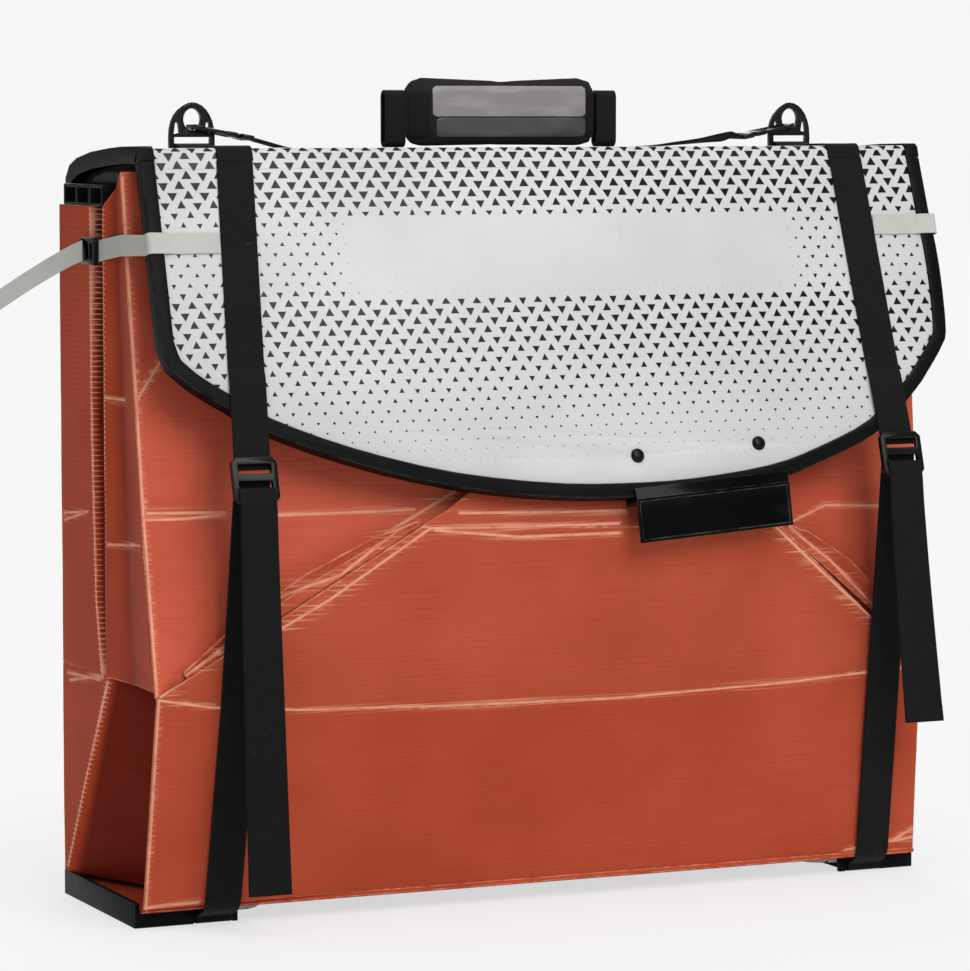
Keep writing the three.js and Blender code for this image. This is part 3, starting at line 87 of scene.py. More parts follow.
class Graph:
    """Adds shader nodes to one tree and joins them."""

    def __init__(self, tree: bpy.types.NodeTree) -> None:
        """Keeps the tree that the nodes go into."""
        self.tree = tree

    def node(self, kind: str, feeds: Feeds | Sequence[Value] = (), **settings: object) -> bpy.types.Node:
        """Adds a node of a kind.

        Args:
            kind: the kind of node.
            feeds: what its inputs get, by name or number, or else in their order.
            settings: its other settings.

        Returns:
            The node.
        """
        made = self.tree.nodes.new(kind)
        for name, value in settings.items():
            setattr(made, name, value)
        for name, value in feeds.items() if isinstance(feeds, dict) else enumerate(feeds):
            if isinstance(value, bpy.types.NodeSocket):
                self.tree.links.new(value, made.inputs[name])
            else:
                made.inputs[name].default_value = value
        return made

    def math(self, operation: str, *values: Value, clamp: bool = False) -> Socket:
        """The result of a sum on numbers."""
        return self.node("ShaderNodeMath", values, operation=operation, use_clamp=clamp).outputs[0]

    def times(self, *values: Value) -> Socket:
        """The product of two or more numbers."""
        return reduce(lambda first, second: self.math("MULTIPLY", first, second), values)

    def most(self, *values: Value) -> Socket:
        """The largest of two or more numbers."""
        return reduce(lambda first, second: self.math("MAXIMUM", first, second), values)

    def ramp(self, value: Value, factor: Value, base: Value) -> Socket:
        """A number times a factor, on top of a base."""
        return self.math("MULTIPLY_ADD", value, factor, base)

    def vector(self, operation: str, *values: Value) -> Socket:
        """The result of a sum on vectors."""
        output = "Value" if operation in ("DOT_PRODUCT", "LENGTH") else "Vector"
        return self.node("ShaderNodeVectorMath", values, operation=operation).outputs[output]

    def scaled(self, vector: Value, factor: Value) -> Socket:
        """A vector times a number."""
        feeds = {"Vector": vector, "Scale": factor}
        return self.node("ShaderNodeVectorMath", feeds, operation="SCALE").outputs["Vector"]

    def parts(self, vector: Socket) -> tuple[Socket, ...]:
        """A vector's three numbers."""
        return tuple(self.node("ShaderNodeSeparateXYZ", (vector,)).outputs)

    def blend(self, factor: Value, first: Value, second: Value) -> Socket:
        """A colour between two."""
        feeds = {0: factor, 6: first, 7: second}
        return self.node("ShaderNodeMix", feeds, data_type="RGBA", blend_type="MIX").outputs[2]

    def span(self, value: Value, low: float, high: float, start: float = 0.0, end: float = 1.0) -> Socket:
        """A smooth step from start to end while the value goes from low to high."""
        feeds = (value, low, high, start, end)
        return self.node("ShaderNodeMapRange", feeds, interpolation_type="SMOOTHSTEP").outputs[0]

    def noise(self, vector: Value, scale: Value, detail: float = 2.0) -> Socket:
        """Soft noise between nought and one."""
        feeds = {"Vector": vector, "Scale": scale, "Detail": detail}
        return self.node("ShaderNodeTexNoise", feeds).outputs["Fac"]

    def place(self) -> Socket:
        """The point's place on the object, in metres."""
        return self.node("ShaderNodeTexCoord").outputs["Object"]

    def use(self, group: bpy.types.NodeTree, **feeds: Value) -> Given:
        """The outputs of a node group with its inputs fed."""
        return self.node("ShaderNodeGroup", feeds, node_tree=group).outputs

    def bump(self, height: Socket, distance: float, strength: float = 1.0) -> Socket:
        """A normal from a height between nought and one, over a distance in millimetres."""
        feeds = {"Height": height, "Distance": distance * MM, "Strength": strength}
        return self.node("ShaderNodeBump", feeds).outputs["Normal"]


FLOAT = "NodeSocketFloat"
VECTOR = "NodeSocketVector"


class Group(Graph):
    """An effect that finishes share: a node group whose outputs are numbers."""

    def __init__(self, name: str, outputs: Sequence[str], **inputs: str) -> None:
        """Makes the tree and its sockets.

        Args:
            name: the group's name.
            outputs: the outputs' names.
            inputs: each input's name and kind of socket.
        """
        super().__init__(bpy.data.node_groups.new(name, "ShaderNodeTree"))
        for socket, kind in inputs.items():
            self.tree.interface.new_socket(name=socket, in_out="INPUT", socket_type=kind)
        for socket in outputs:
            self.tree.interface.new_socket(name=socket, in_out="OUTPUT", socket_type=FLOAT)
        self.given = self.node("NodeGroupInput").outputs

    def giving(self, **feeds: Value) -> bpy.types.NodeTree:
        """The tree, once its outputs are fed."""
        self.node("NodeGroupOutput", feeds)
        return self.tree


def crease_group() -> bpy.types.NodeTree:
    """How far a point is from a straight crease, in metres.

    Returns:
        The node group.
    """
    g = Group("crease", ("Distance",), Point=VECTOR, Start=VECTOR, End=VECTOR)
    reach = g.vector("SUBTRACT", g.given["Point"], g.given["Start"])
    run = g.vector("SUBTRACT", g.given["End"], g.given["Start"])
    square = g.vector("DOT_PRODUCT", run, run)
    along = g.math("DIVIDE", g.vector("DOT_PRODUCT", reach, run), square, clamp=True)
    away = g.vector("SUBTRACT", reach, g.scaled(run, along))
    return g.giving(Distance=g.vector("LENGTH", away))


def flute_group() -> bpy.types.NodeTree:
    """The webs of corrugated sheet: a rounded relief and the thin lines where the webs are.

    Returns:
        The node group.
    """
    g = Group("flutes", ("Relief", "Line"), Height=FLOAT, Pitch=FLOAT)
    turn = g.times(g.math("DIVIDE", g.given["Height"], g.given["Pitch"]), 2 * math.pi)
    relief = g.ramp(g.math("SINE", turn), 0.5, 0.5)
    return g.giving(Relief=relief, Line=g.span(relief, 0.8, 1.0))


def grain_group() -> bpy.types.NodeTree:
    """The fine grain and slow clouding of moulded or rolled plastic.

    Returns:
        The node group.
    """
    g = Group("grain", ("Grain", "Cloud"), Point=VECTOR, Fineness=FLOAT)
    fine = g.noise(g.given["Point"], g.given["Fineness"], 3.0)
    return g.giving(Grain=fine, Cloud=g.span(g.noise(g.given["Point"], 7.0, 3.0), 0.3, 0.7))


def wear_and_highlight_group() -> bpy.types.NodeTree:
    """Where edges are rubbed, and on the clip where a painted highlight lines them: the rounded rims, broken
    up by noise.

    Returns:
        The node group.
    """
    g = Group("edge_wear_and_highlight", ("Mask",), Point=VECTOR, Amount=FLOAT)
    edge = g.node("ShaderNodeAttribute", attribute_name="rim").outputs["Fac"]
    broken = g.span(g.noise(g.given["Point"], 90.0, 4.0), 0.3, 0.7)
    return g.giving(Mask=g.times(edge, broken, g.given["Amount"]))


def weave_group() -> bpy.types.NodeTree:
    """A plain weave: threads that go over and under each other.

    Returns:
        The node group.
    """
    g = Group("weave", ("Relief",), Across=FLOAT, Along=FLOAT, Pitch=FLOAT)
    across, along = (g.math("DIVIDE", g.given[way], g.given["Pitch"]) for way in ("Across", "Along"))
    places = g.math("ADD", g.math("FLOOR", across), g.math("FLOOR", along))
    over = g.math("FLOORED_MODULO", places, 2.0)
    warp, weft = (g.math("SINE", g.times(g.math("FRACT", way), math.pi)) for way in (across, along))
    relief = g.math("ADD", g.times(warp, over), g.times(weft, g.math("SUBTRACT", 1.0, over)))
    return g.giving(Relief=relief)


def motif_group(pitch: float, drop: float) -> bpy.types.NodeTree:
    """A staggered grid of small triangles that point up and down by turns.

    Args:
        pitch: the width of a place in the grid, in millimetres.
        drop: its height.

    Returns:
        The node group.
    """
    g = Group("motifs", ("Ink",), Across=FLOAT, Down=FLOAT, Reach=FLOAT)
    row = g.math("DIVIDE", g.given["Down"], drop * MM)
    line = g.math("FLOOR", row)
    stagger = g.times(g.math("FLOORED_MODULO", line, 2.0), 0.5)
    column = g.math("ADD", g.math("DIVIDE", g.given["Across"], pitch * MM), stagger)
    turned = g.math("FLOORED_MODULO", g.math("ADD", g.math("FLOOR", column), line), 2.0)
    x, y = (g.math("SUBTRACT", g.math("FRACT", value), 0.5) for value in (column, row))
    x = g.math("ABSOLUTE", g.times(x, pitch * MM))
    y = g.times(y, drop * MM, g.ramp(turned, 2.0, -1.0))
    slope = g.math("ADD", g.times(x, 0.866), g.times(y, 0.5))
    inside = g.math("SUBTRACT", g.given["Reach"], g.most(slope, g.times(y, -1.0)))
    return g.giving(Ink=g.span(inside, 0.0, 0.25 * MM))


CREASE = crease_group()
FLUTES = flute_group()
GRAIN = grain_group()
WEAR_AND_HIGHLIGHT = wear_and_highlight_group()
WEAVE = weave_group()
MOTIFS = motif_group(16.0, 9.6)


@dataclass(frozen=True)
class Finish:
    """What a surface is made of."""

    name: str

    def material(self) -> bpy.types.Material:
        """The finish's material, made once.

        Returns:
            The material.
        """
        made = bpy.data.materials.get(f"{self.name}_finish")
        if made is None:
            made = bpy.data.materials.new(f"{self.name}_finish")
            made.use_nodes = True
            made.node_tree.nodes.clear()
            graph = Graph(made.node_tree)
            shader = graph.node("ShaderNodeBsdfPrincipled", self.feeds(graph))
            graph.node("ShaderNodeOutputMaterial", {"Surface": shader.outputs["BSDF"]})
        return made

    def feeds(self, graph: Graph) -> Feeds:
        """What feeds the shader's inputs, each finish's own."""
        raise NotImplementedError


class View(Enum):
    """From which side a panel is drawn: the mask that flattens a point to that drawing."""

    FRONT = (1.0, 0.0, 1.0)
    SIDE = (0.0, 1.0, 1.0)


class Stress(Enum):
    """How a kind of crease shows: its core's strength, its cross marks' strength and its fade's reach."""

    CREASE = (0.76, 0.3, 0.007)
    LADDER = (0.98, 1.0, 0.004)
    PLEAT = (0.74, 0.3, 0.016)


@dataclass(frozen=True)
class SheetFinish(Finish):
    """Coloured corrugated sheet with stressed creases.

    Creases are flat points in millimetres: across and up in the view's drawing.
    """

    low: str
    high: str
    view: View = View.FRONT
    creases: tuple[Line, ...] = ()
    ladders: tuple[Line, ...] = ()
    pleats: tuple[Line, ...] = ()
    streak: str = "8A2E16"
    web: str = "7A2814"
    # Painted shade: the dark red that the sides' recessed folds and gusset pockets blend to, standing for the
    # shadow inside them.
    recess_shade: str = "5E170C"
    stressed: str = "F0AC8E"
    pitch: float = 5.0
    roughness: float = 0.42

    def crease_distance(self, graph: Graph, place: Socket, lines: tuple[Line, ...]) -> Socket:
        """The distance to the nearest of some creases.

        Args:
            graph: where the nodes go.
            place: the point.
            lines: the creases.

        Returns:
            The distance in metres.
        """
        flat = graph.vector("MULTIPLY", place, self.view.value)
        distances = []
        for line in lines:
            for (a, b), (c, d) in zip(line, line[1:]):
                ends = [(a, 0, b), (c, 0, d)] if self.view is View.FRONT else [(0, a, b), (0, c, d)]
                start, end = (tuple(v * MM for v in point) for point in ends)
                distances.append(graph.use(CREASE, Point=flat, Start=start, End=end)["Distance"])
        return reduce(lambda first, second: graph.math("MINIMUM", first, second), distances)

    def feeds(self, graph: Graph) -> Feeds:
        """Clouded colour, flutes, white stress along the creases and rubbed rims.

        Args:
            graph: where the nodes go.

        Returns:
            What feeds the shader's inputs.
        """
        place = graph.place()
        across, _, height = graph.parts(place)
        waver = graph.ramp(graph.noise(place, 5.0), 0.004, height)
        flutes = graph.use(FLUTES, Height=waver, Pitch=self.pitch * MM)
        grain = graph.use(GRAIN, Point=place, Fineness=500.0)
        streaks = graph.noise(graph.vector("MULTIPLY", place, (9.0, 9.0, 420.0)), 1.0, 3.0)
        colour = graph.blend(grain["Cloud"], shade(self.low), shade(self.high))
        colour = graph.blend(graph.times(graph.span(streaks, 0.45, 0.75), 0.12), colour, shade(self.streak))
        colour = graph.blend(graph.times(flutes["Line"], 0.08), colour, shade(self.web))
        # Painted shade: points sunk in from the side's outer face blend to dark red, standing for the shadow
        # in the recessed folds and the gusset pockets.
        if self.view is View.SIDE:
            painted_recess_shade = graph.span(graph.math("ABSOLUTE", across), 0.413, 0.4195, 0.85, 0.0)
            colour = graph.blend(painted_recess_shade, colour, shade(self.recess_shade))
        stress = graph.use(WEAR_AND_HIGHLIGHT, Point=place, Amount=0.62)["Mask"]
        relief = graph.times(flutes["Relief"], 0.35)
        kinds = ((self.creases, Stress.CREASE), (self.ladders, Stress.LADDER), (self.pleats, Stress.PLEAT))
        for lines, kind in kinds:
            if not lines:
                continue
            strength, ladder, reach = kind.value
            away = self.crease_distance(graph, place, lines)
            worn = graph.span(graph.noise(place, 60.0, 3.0), 0.25, 0.6, 0.6, 1.0)
            core = graph.times(graph.span(away, 0.0005, 0.0021, strength, 0.0), worn)
            fade = graph.times(graph.span(away, 0.001, reach, 0.6, 0.0), graph.span(streaks, 0.5, 0.7))
            marks = graph.times(graph.span(away, 0.0018, 0.006, ladder, 0.0), flutes["Line"])
            stress = graph.most(stress, core, fade, marks)
            relief = graph.math("ADD", relief, graph.span(away, 0.0, 0.004, 0.9, 0.0))
        rough = graph.ramp(grain["Grain"], 0.16, self.roughness - 0.08)
        return {
            "Base Color": graph.blend(stress, colour, shade(self.stressed)),
            "Roughness": graph.ramp(stress, 0.2, rough),
            "Normal": graph.bump(graph.ramp(grain["Grain"], 0.12, relief), 0.35, 0.6),
            "Specular IOR Level": 0.02,
        }


class Print(Enum):
    """Which way the print runs: the direction down the board and where it starts, in metres."""

    FLAP = (FLAP_DOWN, 0.6750)
    LID = ((0.0, -1.0, 0.0), -0.0544)
    BACK = ((0.0, 0.0, -1.0), 0.7000)
    BARE = ((0.0, 0.0, -1.0), -9.0)


@dataclass(frozen=True)
class BoardFinish(Finish):
    """Pale board with a dark print that shrinks down the flap and leaves a bare middle."""

    run: Print
    lid_top: float = 0.721
    box_middle: Place = (0.0, 0.02, 0.4)

    def ink(self, graph: Graph, place: Socket) -> Socket:
        """The print: how much ink a point has.

        Args:
            graph: where the nodes go.
            place: the point.

        Returns:
            Nought for none, one for full ink.
        """
        direction, offset = self.run.value
        across, back, up = graph.parts(place)
        down = graph.math("ADD", graph.vector("DOT_PRODUCT", place, direction), offset)
        if self.run is Print.LID:
            sense = graph.span(back, 0.05, 0.07, 1.0, -1.0)
            down = graph.math("ADD", down, graph.times(graph.math("SUBTRACT", self.lid_top, up), sense))
        top, foot = graph.span(down, 0.03, 0.075, 3.3, 1.75), graph.span(down, 0.115, 0.145, 0.0, 1.25)
        size = graph.math("ADD", top, foot)
        size = graph.times(size, graph.span(down, 0.14, 0.345, 1.0, 0.08))
        if self.run is Print.FLAP:
            bare = graph.times(
                graph.span(across, -0.235, -0.2),
                graph.span(across, 0.24, 0.275, 1.0, 0.0),
                graph.span(down, 0.05, 0.064),
                graph.span(down, 0.124, 0.14, 1.0, 0.0),
            )
            size = graph.times(size, graph.math("SUBTRACT", 1.0, bare))
        reach = graph.times(graph.math("SUBTRACT", size, 0.25), MM)
        ink = graph.use(MOTIFS, Across=across, Down=down, Reach=reach)["Ink"]
        outwards = graph.vector("SUBTRACT", place, self.box_middle)
        facing = graph.vector("DOT_PRODUCT", graph.node("ShaderNodeTexCoord").outputs["Normal"], outwards)
        return graph.times(ink, graph.span(facing, -0.004, 0.004))

    def feeds(self, graph: Graph) -> Feeds:
        """White corrugated board, faintly ribbed, with the print in satin ink.

        Args:
            graph: where the nodes go.

        Returns:
            What feeds the shader's inputs.
        """
        place = graph.place()
        grain = graph.use(GRAIN, Point=place, Fineness=420.0)
        flutes = graph.use(FLUTES, Height=graph.parts(place)[0], Pitch=5.0 * MM)
        drawn = graph.vector("MULTIPLY", place, (60.0, 60.0, 14.0))
        scuffs = graph.span(graph.noise(drawn, 1.0, 5.0), 0.62, 0.78)
        ink = self.ink(graph, place)
        colour = graph.blend(grain["Cloud"], shade("BDBDBD"), shade("C5C5C4"))
        colour = graph.blend(graph.times(flutes["Line"], 0.05), colour, shade("A4A4A3"))
        colour = graph.blend(graph.times(scuffs, 0.12), colour, shade("A0A09D"))
        relief = graph.ramp(ink, 0.3, graph.times(flutes["Relief"], 0.3))
        return {
            "Base Color": graph.blend(ink, colour, shade("0D0E0E")),
            "Roughness": graph.ramp(ink, -0.06, graph.ramp(grain["Grain"], 0.12, 0.34)),
            "Normal": graph.bump(graph.ramp(grain["Grain"], 0.2, relief), 0.1, 0.5),
            "Specular IOR Level": 0.2,
        }


@dataclass(frozen=True)
class MouldedFinish(Finish):
    """Black moulded or extruded plastic with a fine grain and lighter rims: rubbed wear, and on the clip a
    painted highlight.
    """

    colour: str
    roughness: float
    worn: str = "484A49"
    wear_and_highlight: float = 0.35
    fineness: float = 900.0
    depth: float = 0.08
    gloss: float = 0.14

    def feeds(self, graph: Graph) -> Feeds:
        """Colour, grain, dust, and lighter rims: rubbed wear, and on the clip a painted highlight.

        Args:
            graph: where the nodes go.

        Returns:
            What feeds the shader's inputs.
        """
        place = graph.place()
        grain = graph.use(GRAIN, Point=place, Fineness=self.fineness)
        # Lighter rims from the rim mask: rubbed wear, and on the clip a painted highlight.
        rubbed = graph.use(WEAR_AND_HIGHLIGHT, Point=place, Amount=self.wear_and_highlight)["Mask"]
        dust = graph.times(graph.span(graph.noise(place, 30.0, 5.0), 0.55, 0.8), 0.05)
        colour = graph.blend(graph.times(grain["Cloud"], 0.25), shade(self.colour), shade("181A19"))
        colour = graph.blend(dust, colour, shade("5B5B58"))
        return {
            "Base Color": graph.blend(rubbed, colour, shade(self.worn)),
            "Roughness": graph.ramp(dust, 1.5, graph.ramp(grain["Grain"], 0.18, self.roughness - 0.09)),
            "Normal": graph.bump(grain["Grain"], self.depth, 0.5),
            "Specular IOR Level": self.gloss,
        }


class Lie(Enum):
    """Where a woven finish takes its directions from."""

    MAP = "its own flat map"
    UPRIGHT = "across the width and up the height"


@dataclass(frozen=True)
class WovenFinish(Finish):
    """Woven webbing or cloth."""

    colour: str
    light: str
    pitch: float
    lie: Lie = Lie.MAP
    depth: float = 0.25
    sheen: float = 0.03

    def feeds(self, graph: Graph) -> Feeds:
        """Threads over and under, with light catching the raised ones, and a little lint.

        Args:
            graph: where the nodes go.

        Returns:
            What feeds the shader's inputs.
        """
        place = graph.place()
        if self.lie is Lie.MAP:
            across, along, _ = graph.parts(graph.node("ShaderNodeTexCoord").outputs["UV"])
        else:
            across, _, along = graph.parts(place)
        weave = graph.use(WEAVE, Across=across, Along=along, Pitch=self.pitch * MM)
        lint = graph.times(graph.span(graph.noise(place, 420.0, 2.0), 0.7, 0.78), 0.2)
        colour = graph.blend(graph.times(weave["Relief"], 0.8), shade(self.colour), shade(self.light))
        faded = graph.span(graph.noise(place, 25.0, 4.0), 0.35, 0.8, 0.0, 0.3)
        colour = graph.blend(faded, colour, shade(self.light))
        return {
            "Base Color": graph.blend(lint, colour, shade("77797A")),
            "Roughness": graph.span(weave["Relief"], 0.0, 1.0, 0.92, 0.74),
            "Normal": graph.bump(weave["Relief"], self.depth, 0.8),
            "Sheen Weight": self.sheen,
            "Specular IOR Level": 0.18,
        }


@dataclass(frozen=True)
class FoamFinish(Finish):
    """Closed-cell foam with fine pores."""

    colour: str
    light: str

    def feeds(self, graph: Graph) -> Feeds:
        """Pores, soft clouds of tone and pressed patches.

        Args:
            graph: where the nodes go.

        Returns:
            What feeds the shader's inputs.
        """
        place = graph.place()
        pores = graph.node("ShaderNodeTexVoronoi", {"Vector": place, "Scale": 900.0}).outputs["Distance"]
        cells = graph.span(pores, 0.1, 0.6)
        grain = graph.use(GRAIN, Point=place, Fineness=240.0)
        colour = graph.blend(grain["Cloud"], shade(self.colour), shade(self.light))
        return {
            "Base Color": graph.blend(graph.times(cells, 0.25), colour, shade(self.colour)),
            "Roughness": graph.span(grain["Grain"], 0.2, 0.8, 0.72, 0.92),
            "Normal": graph.bump(cells, 0.2, 0.5),
        }


@dataclass(frozen=True)
class FilmFinish(Finish):
    """Smooth coated patches, softly marked by handling."""

    colour: str
    light: str
    roughness: float

    def feeds(self, graph: Graph) -> Feeds:
        """A soft gradient of tone, rubbed marks and an embossed grain.

        Args:
            graph: where the nodes go.

        Returns:
            What feeds the shader's inputs.
        """
        place = graph.place()
        grain = graph.use(GRAIN, Point=place, Fineness=1300.0)
        drawn = graph.vector("MULTIPLY", place, (30.0, 30.0, 90.0))
        marks = graph.span(graph.noise(drawn, 1.0, 4.0), 0.4, 0.8)
        return {
            "Base Color": graph.blend(marks, shade(self.colour), shade(self.light)),
            "Roughness": graph.ramp(grain["Grain"], 0.2, self.roughness - 0.1),
            "Normal": graph.bump(grain["Grain"], 0.12, 0.5),
        }


def select_only(piece: bpy.types.Object) -> None:
    """Makes one object the only selected and the active one.

    Args:
        piece: the object.
    """
    for other in bpy.context.selected_objects:
        other.select_set(False)
    piece.select_set(True)
    bpy.context.view_layer.objects.active = piece


@contextmanager
def editing(piece: bpy.types.Object) -> Iterator[None]:
    """Opens an object for editing with all of it selected, and closes it afterwards.

    Args:
        piece: the object.

    Returns:
        The stretch of code in which it is open.
    """
    select_only(piece)
    bpy.ops.object.mode_set(mode="EDIT")
    bpy.ops.mesh.select_mode(type="VERT")
    bpy.ops.mesh.select_all(action="SELECT")
    yield
    bpy.ops.object.mode_set(mode="OBJECT")


@contextmanager
def editing_some(piece: bpy.types.Object, kind: str, chosen: Sequence[bool]) -> Iterator[None]:
    """Opens an object for editing with some of its faces or edges selected, and closes it afterwards.

    Args:
        piece: the object.
        kind: FACE or EDGE.
        chosen: for each face or edge, whether it is selected.

    Returns:
        The stretch of code in which it is open.
    """
    select_only(piece)
    bpy.ops.object.mode_set(mode="EDIT")
    bpy.ops.mesh.select_mode(type=kind)
    bpy.ops.mesh.select_all(action="DESELECT")
    bpy.ops.object.mode_set(mode="OBJECT")
    rows = piece.data.polygons if kind == "FACE" else piece.data.edges
    rows.foreach_set("select", chosen)
    bpy.ops.object.mode_set(mode="EDIT")
    yield
    bpy.ops.object.mode_set(mode="OBJECT")


def apply_modifier(piece: bpy.types.Object, kind: str, **settings: object) -> None:
    """Adds a modifier to an object and applies it.

    Args:
        piece: the object.
        kind: the kind of modifier.
        settings: its settings.
    """
    made = piece.modifiers.new(kind.lower(), kind)
    for name, value in settings.items():
        setattr(made, name, value)
    select_only(piece)
    bpy.ops.object.modifier_apply(modifier=made.name)


def copy_node(node: str, name: str) -> bpy.types.Object:
    """A new object with a CAD node's shape, its loose triangles merged into one skin.

    Args:
        node: the CAD node.
        name: the new object's name.

    Returns:
        The object, with flat areas as single faces.
    """
    piece = bpy.data.objects.new(name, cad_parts[node].data.copy())
    bpy.context.scene.collection.objects.link(piece)
    piece.data.materials.clear()
    select_only(piece)
    bpy.ops.mesh.customdata_custom_splitnormals_clear()
    with editing(piece):
        bpy.ops.mesh.remove_doubles(threshold=0.02 * MM)
        bpy.ops.mesh.dissolve_limited(angle_limit=math.radians(0.4))
    return piece


def bevel(piece: bpy.types.Object, width: float, segments: int = 2, angle: float = 30.0) -> None:
    """Rounds an object's sharp edges and marks the new faces as its rims.

    Args:
        piece: the object.
        width: the bevel's width in millimetres.
        segments: how many steps it has.
        angle: how sharp an edge has to be, in degrees.
    """
    for _ in range(2):
        piece.data.materials.append(None)
    sharp = {"limit_method": "ANGLE", "angle_limit": math.radians(angle), "use_clamp_overlap": True}
    apply_modifier(piece, "BEVEL", width=width * MM, segments=segments, material=1, **sharp)
    rims = piece.data.attributes.new("rim", "FLOAT", "FACE")
    rims.data.foreach_set("value", [float(face.material_index == 1) for face in piece.data.polygons])
    piece.data.materials.clear()


def smooth(piece: bpy.types.Object, angle: float = 35.0) -> None:
    """Shades an object smooth, with its sharp edges kept."""
    select_only(piece)
    bpy.ops.object.shade_smooth_by_angle(angle=math.radians(angle))


def face_outwards(piece: bpy.types.Object) -> None:
    """Turns all of an object's faces outwards."""
    with editing(piece):
        bpy.ops.mesh.normals_make_consistent(inside=False)


def thicken(piece: bpy.types.Object, wall: float, rim: float) -> None:
    """Gives a single skin its wall and its rounded rims.

    Args:
        piece: the skin.
        wall: its thickness in millimetres.
        rim: the rims' width in millimetres.
    """
    apply_modifier(piece, "SOLIDIFY", thickness=wall * MM, offset=0.0)
    face_outwards(piece)
    bevel(piece, rim, 2, 60.0)
    smooth(piece, 50.0)


def refine(piece: bpy.types.Object, longest: float, rounds: int = 9) -> None:
    """Divides an object's long edges.

    Args:
        piece: the object.
        longest: how long an edge may stay, in millimetres.
        rounds: how often an edge may be halved.
    """
    with editing(piece):
        bpy.ops.mesh.quads_convert_to_tris()
    for _ in range(rounds):
        points = [vertex.co for vertex in piece.data.vertices]
        ends = [edge.vertices for edge in piece.data.edges]
        chosen = [(points[a] - points[b]).length > longest * MM for a, b in ends]
        if not any(chosen):
            break
        with editing_some(piece, "EDGE", chosen):
            bpy.ops.mesh.subdivide(number_cuts=1)


def ripple(piece: bpy.types.Object, way: Vector, height: float, size: float, seed: float) -> None:
    """Moves an object's points in and out by soft noise.

    Args:
        piece: the object.
        way: the direction that the points move in.
        height: the largest move in millimetres.
        size: the size of the waves in millimetres.
        seed: where the noise starts.
    """
    for vertex in piece.data.vertices:
        spot = vertex.co / (size * MM) + Vector((seed, seed, seed))
        vertex.co += way * (noise.noise(spot) * height * MM)


@dataclass(frozen=True)
class Fold:
    """A hinge line between two bodies, one before it and the next after it; pieces across it keep the shape
    they are made in.
    """

    first: str
    second: str
    middle: Place
    run: Place
    reach: float

    def __str__(self) -> str:
        """The two bodies in words."""
        return f"{self.first} and {self.second}"

    def bend(self, piece: bpy.types.Object) -> None:
        """Bakes a piece's placement into its mesh; it does not bend it."""
        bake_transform(piece)


LID_FOLD = Fold("box", "lid", (-2.246, 160.5, 690.0), (0.0, 0.0, 1.0), 3.6)
FLAP_FOLD = Fold("lid", "flap", FLAP_EDGE, FLAP_DOWN, 3.6)


@dataclass
class SubAssembly:
    """Pieces that are made and dressed together."""

    pieces: list[str] = field(default_factory=list)

    def keep(self, piece: bpy.types.Object, finish: Finish, body: str | Fold, slot: str, *nodes: str) -> None:
        """Gives a piece its finish, parents it to its body unless it lies across a fold, hides the nodes that
        it stands for and lists it.

        Args:
            piece: the object.
            finish: what it is made of.
            body: the body that it rides on, or the fold that it lies across.
            slot: the material slot's name; it is not used.
            nodes: the CAD nodes that it replaces.
        """
        piece.data.materials.clear()
        piece.data.materials.append(finish.material())
        if nodes:
            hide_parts(*nodes)
        if isinstance(body, Fold):
            body.bend(piece)
        else:
            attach(piece, body)
        self.pieces.append(piece.name)
        log.info("made %s on %s: %d faces", piece.name, body, len(piece.data.polygons))

    def from_node(
        self,
        node: str,
        finish: Finish,
        body: str,
        slot: str,
        width: float,
        segments: int = 2,
        angle: float = 30.0,
    ) -> None:
        """Makes a piece with a node's own shape and rounded edges.

        Args:
            node: the CAD node.
            finish: what it is made of.
            body: the body that it rides on.
            slot: the material slot's name, handed on to keep.
            width: the width of its rounded edges in millimetres.
            segments: the steps of each rounding.
            angle: how sharp an edge has to be to be rounded.
        """
        piece = copy_node(node, f"{node}_piece")
        bevel(piece, width, segments, angle)
        smooth(piece)
        self.keep(piece, finish, body, slot, node)


MAIN_CREASE = ((-419, 225), (-366, 215), (-278, 208), (-124, 203), (56, 201), (341, 209), (404, 213))
FOOT_CREASES = (((388, 33), (407, 42)), ((330, 25), (408, 33)), ((-419, 24), (-366, 25)))
LEFT_RIDGE = ((-419, 226), (-419, 705))
LEFT_PLEAT_UP = ((-306, 314), (-241, 334), (-183, 375), (-118, 407))
LEFT_PLEAT_LOW = ((-363, 264), (-309, 282), (-253, 312), (-154, 376))
LEFT_PLEAT_FAR = ((-417, 228), (-387, 249), (-363, 264), (-306, 314))
LEFT_PLEAT_FOOT = ((-417, 228), (-389, 241), (-365, 253))
RIGHT_PLEAT_UP = ((232, 362), (287, 325), (353, 268))
RIGHT_PLEAT_LOW = ((213, 363), (270, 317), (350, 255))
BROW_CREASES = (
    ((-149, 374), (-61, 364), (44, 364)),
    ((-154, 376), (-60, 374), (44, 373)),
    ((-122, 389), (-18, 386), (52, 385)),
)
LEFT_FACET_CREASES = (
    ((-418, 389), (-380, 389), (-342, 392)),
    ((-415, 395), (-342, 394)),
    ((-297, 390), (-222, 391), (-160, 392)),
    ((-419, 499), (-394, 534)),
)
RIGHT_FACET_CREASES = (((247, 364), (289, 378), (360, 374), (386, 373)),)
SIDE_RIDGES = (
    ((148, 377), (76, 384)),
    ((148, 370), (81, 383)),
    ((25, 497), (-20, 497)),
    ((22, 357), (-65, 364)),
)
SIDE_CREASES = (
    *SIDE_RIDGES,
    ((140, 221), (44, 225)),
    ((134, 214), (44, 229)),
    ((50, 227), (35, 229)),
    ((-112, 225), (-66, 22)),
)
SIDE_LADDERS = (
    ((63.5, 677), (63.5, 470), (60, 397), (54, 301), (40, 233)),
    ((27.5, 677), (27.5, 440), (30, 301), (39, 231)),
    ((-24, 705), (-41, 592), (-56, 499), (-78, 352), (-112, 225)),
    ((24, 225), (145, 30)),
)

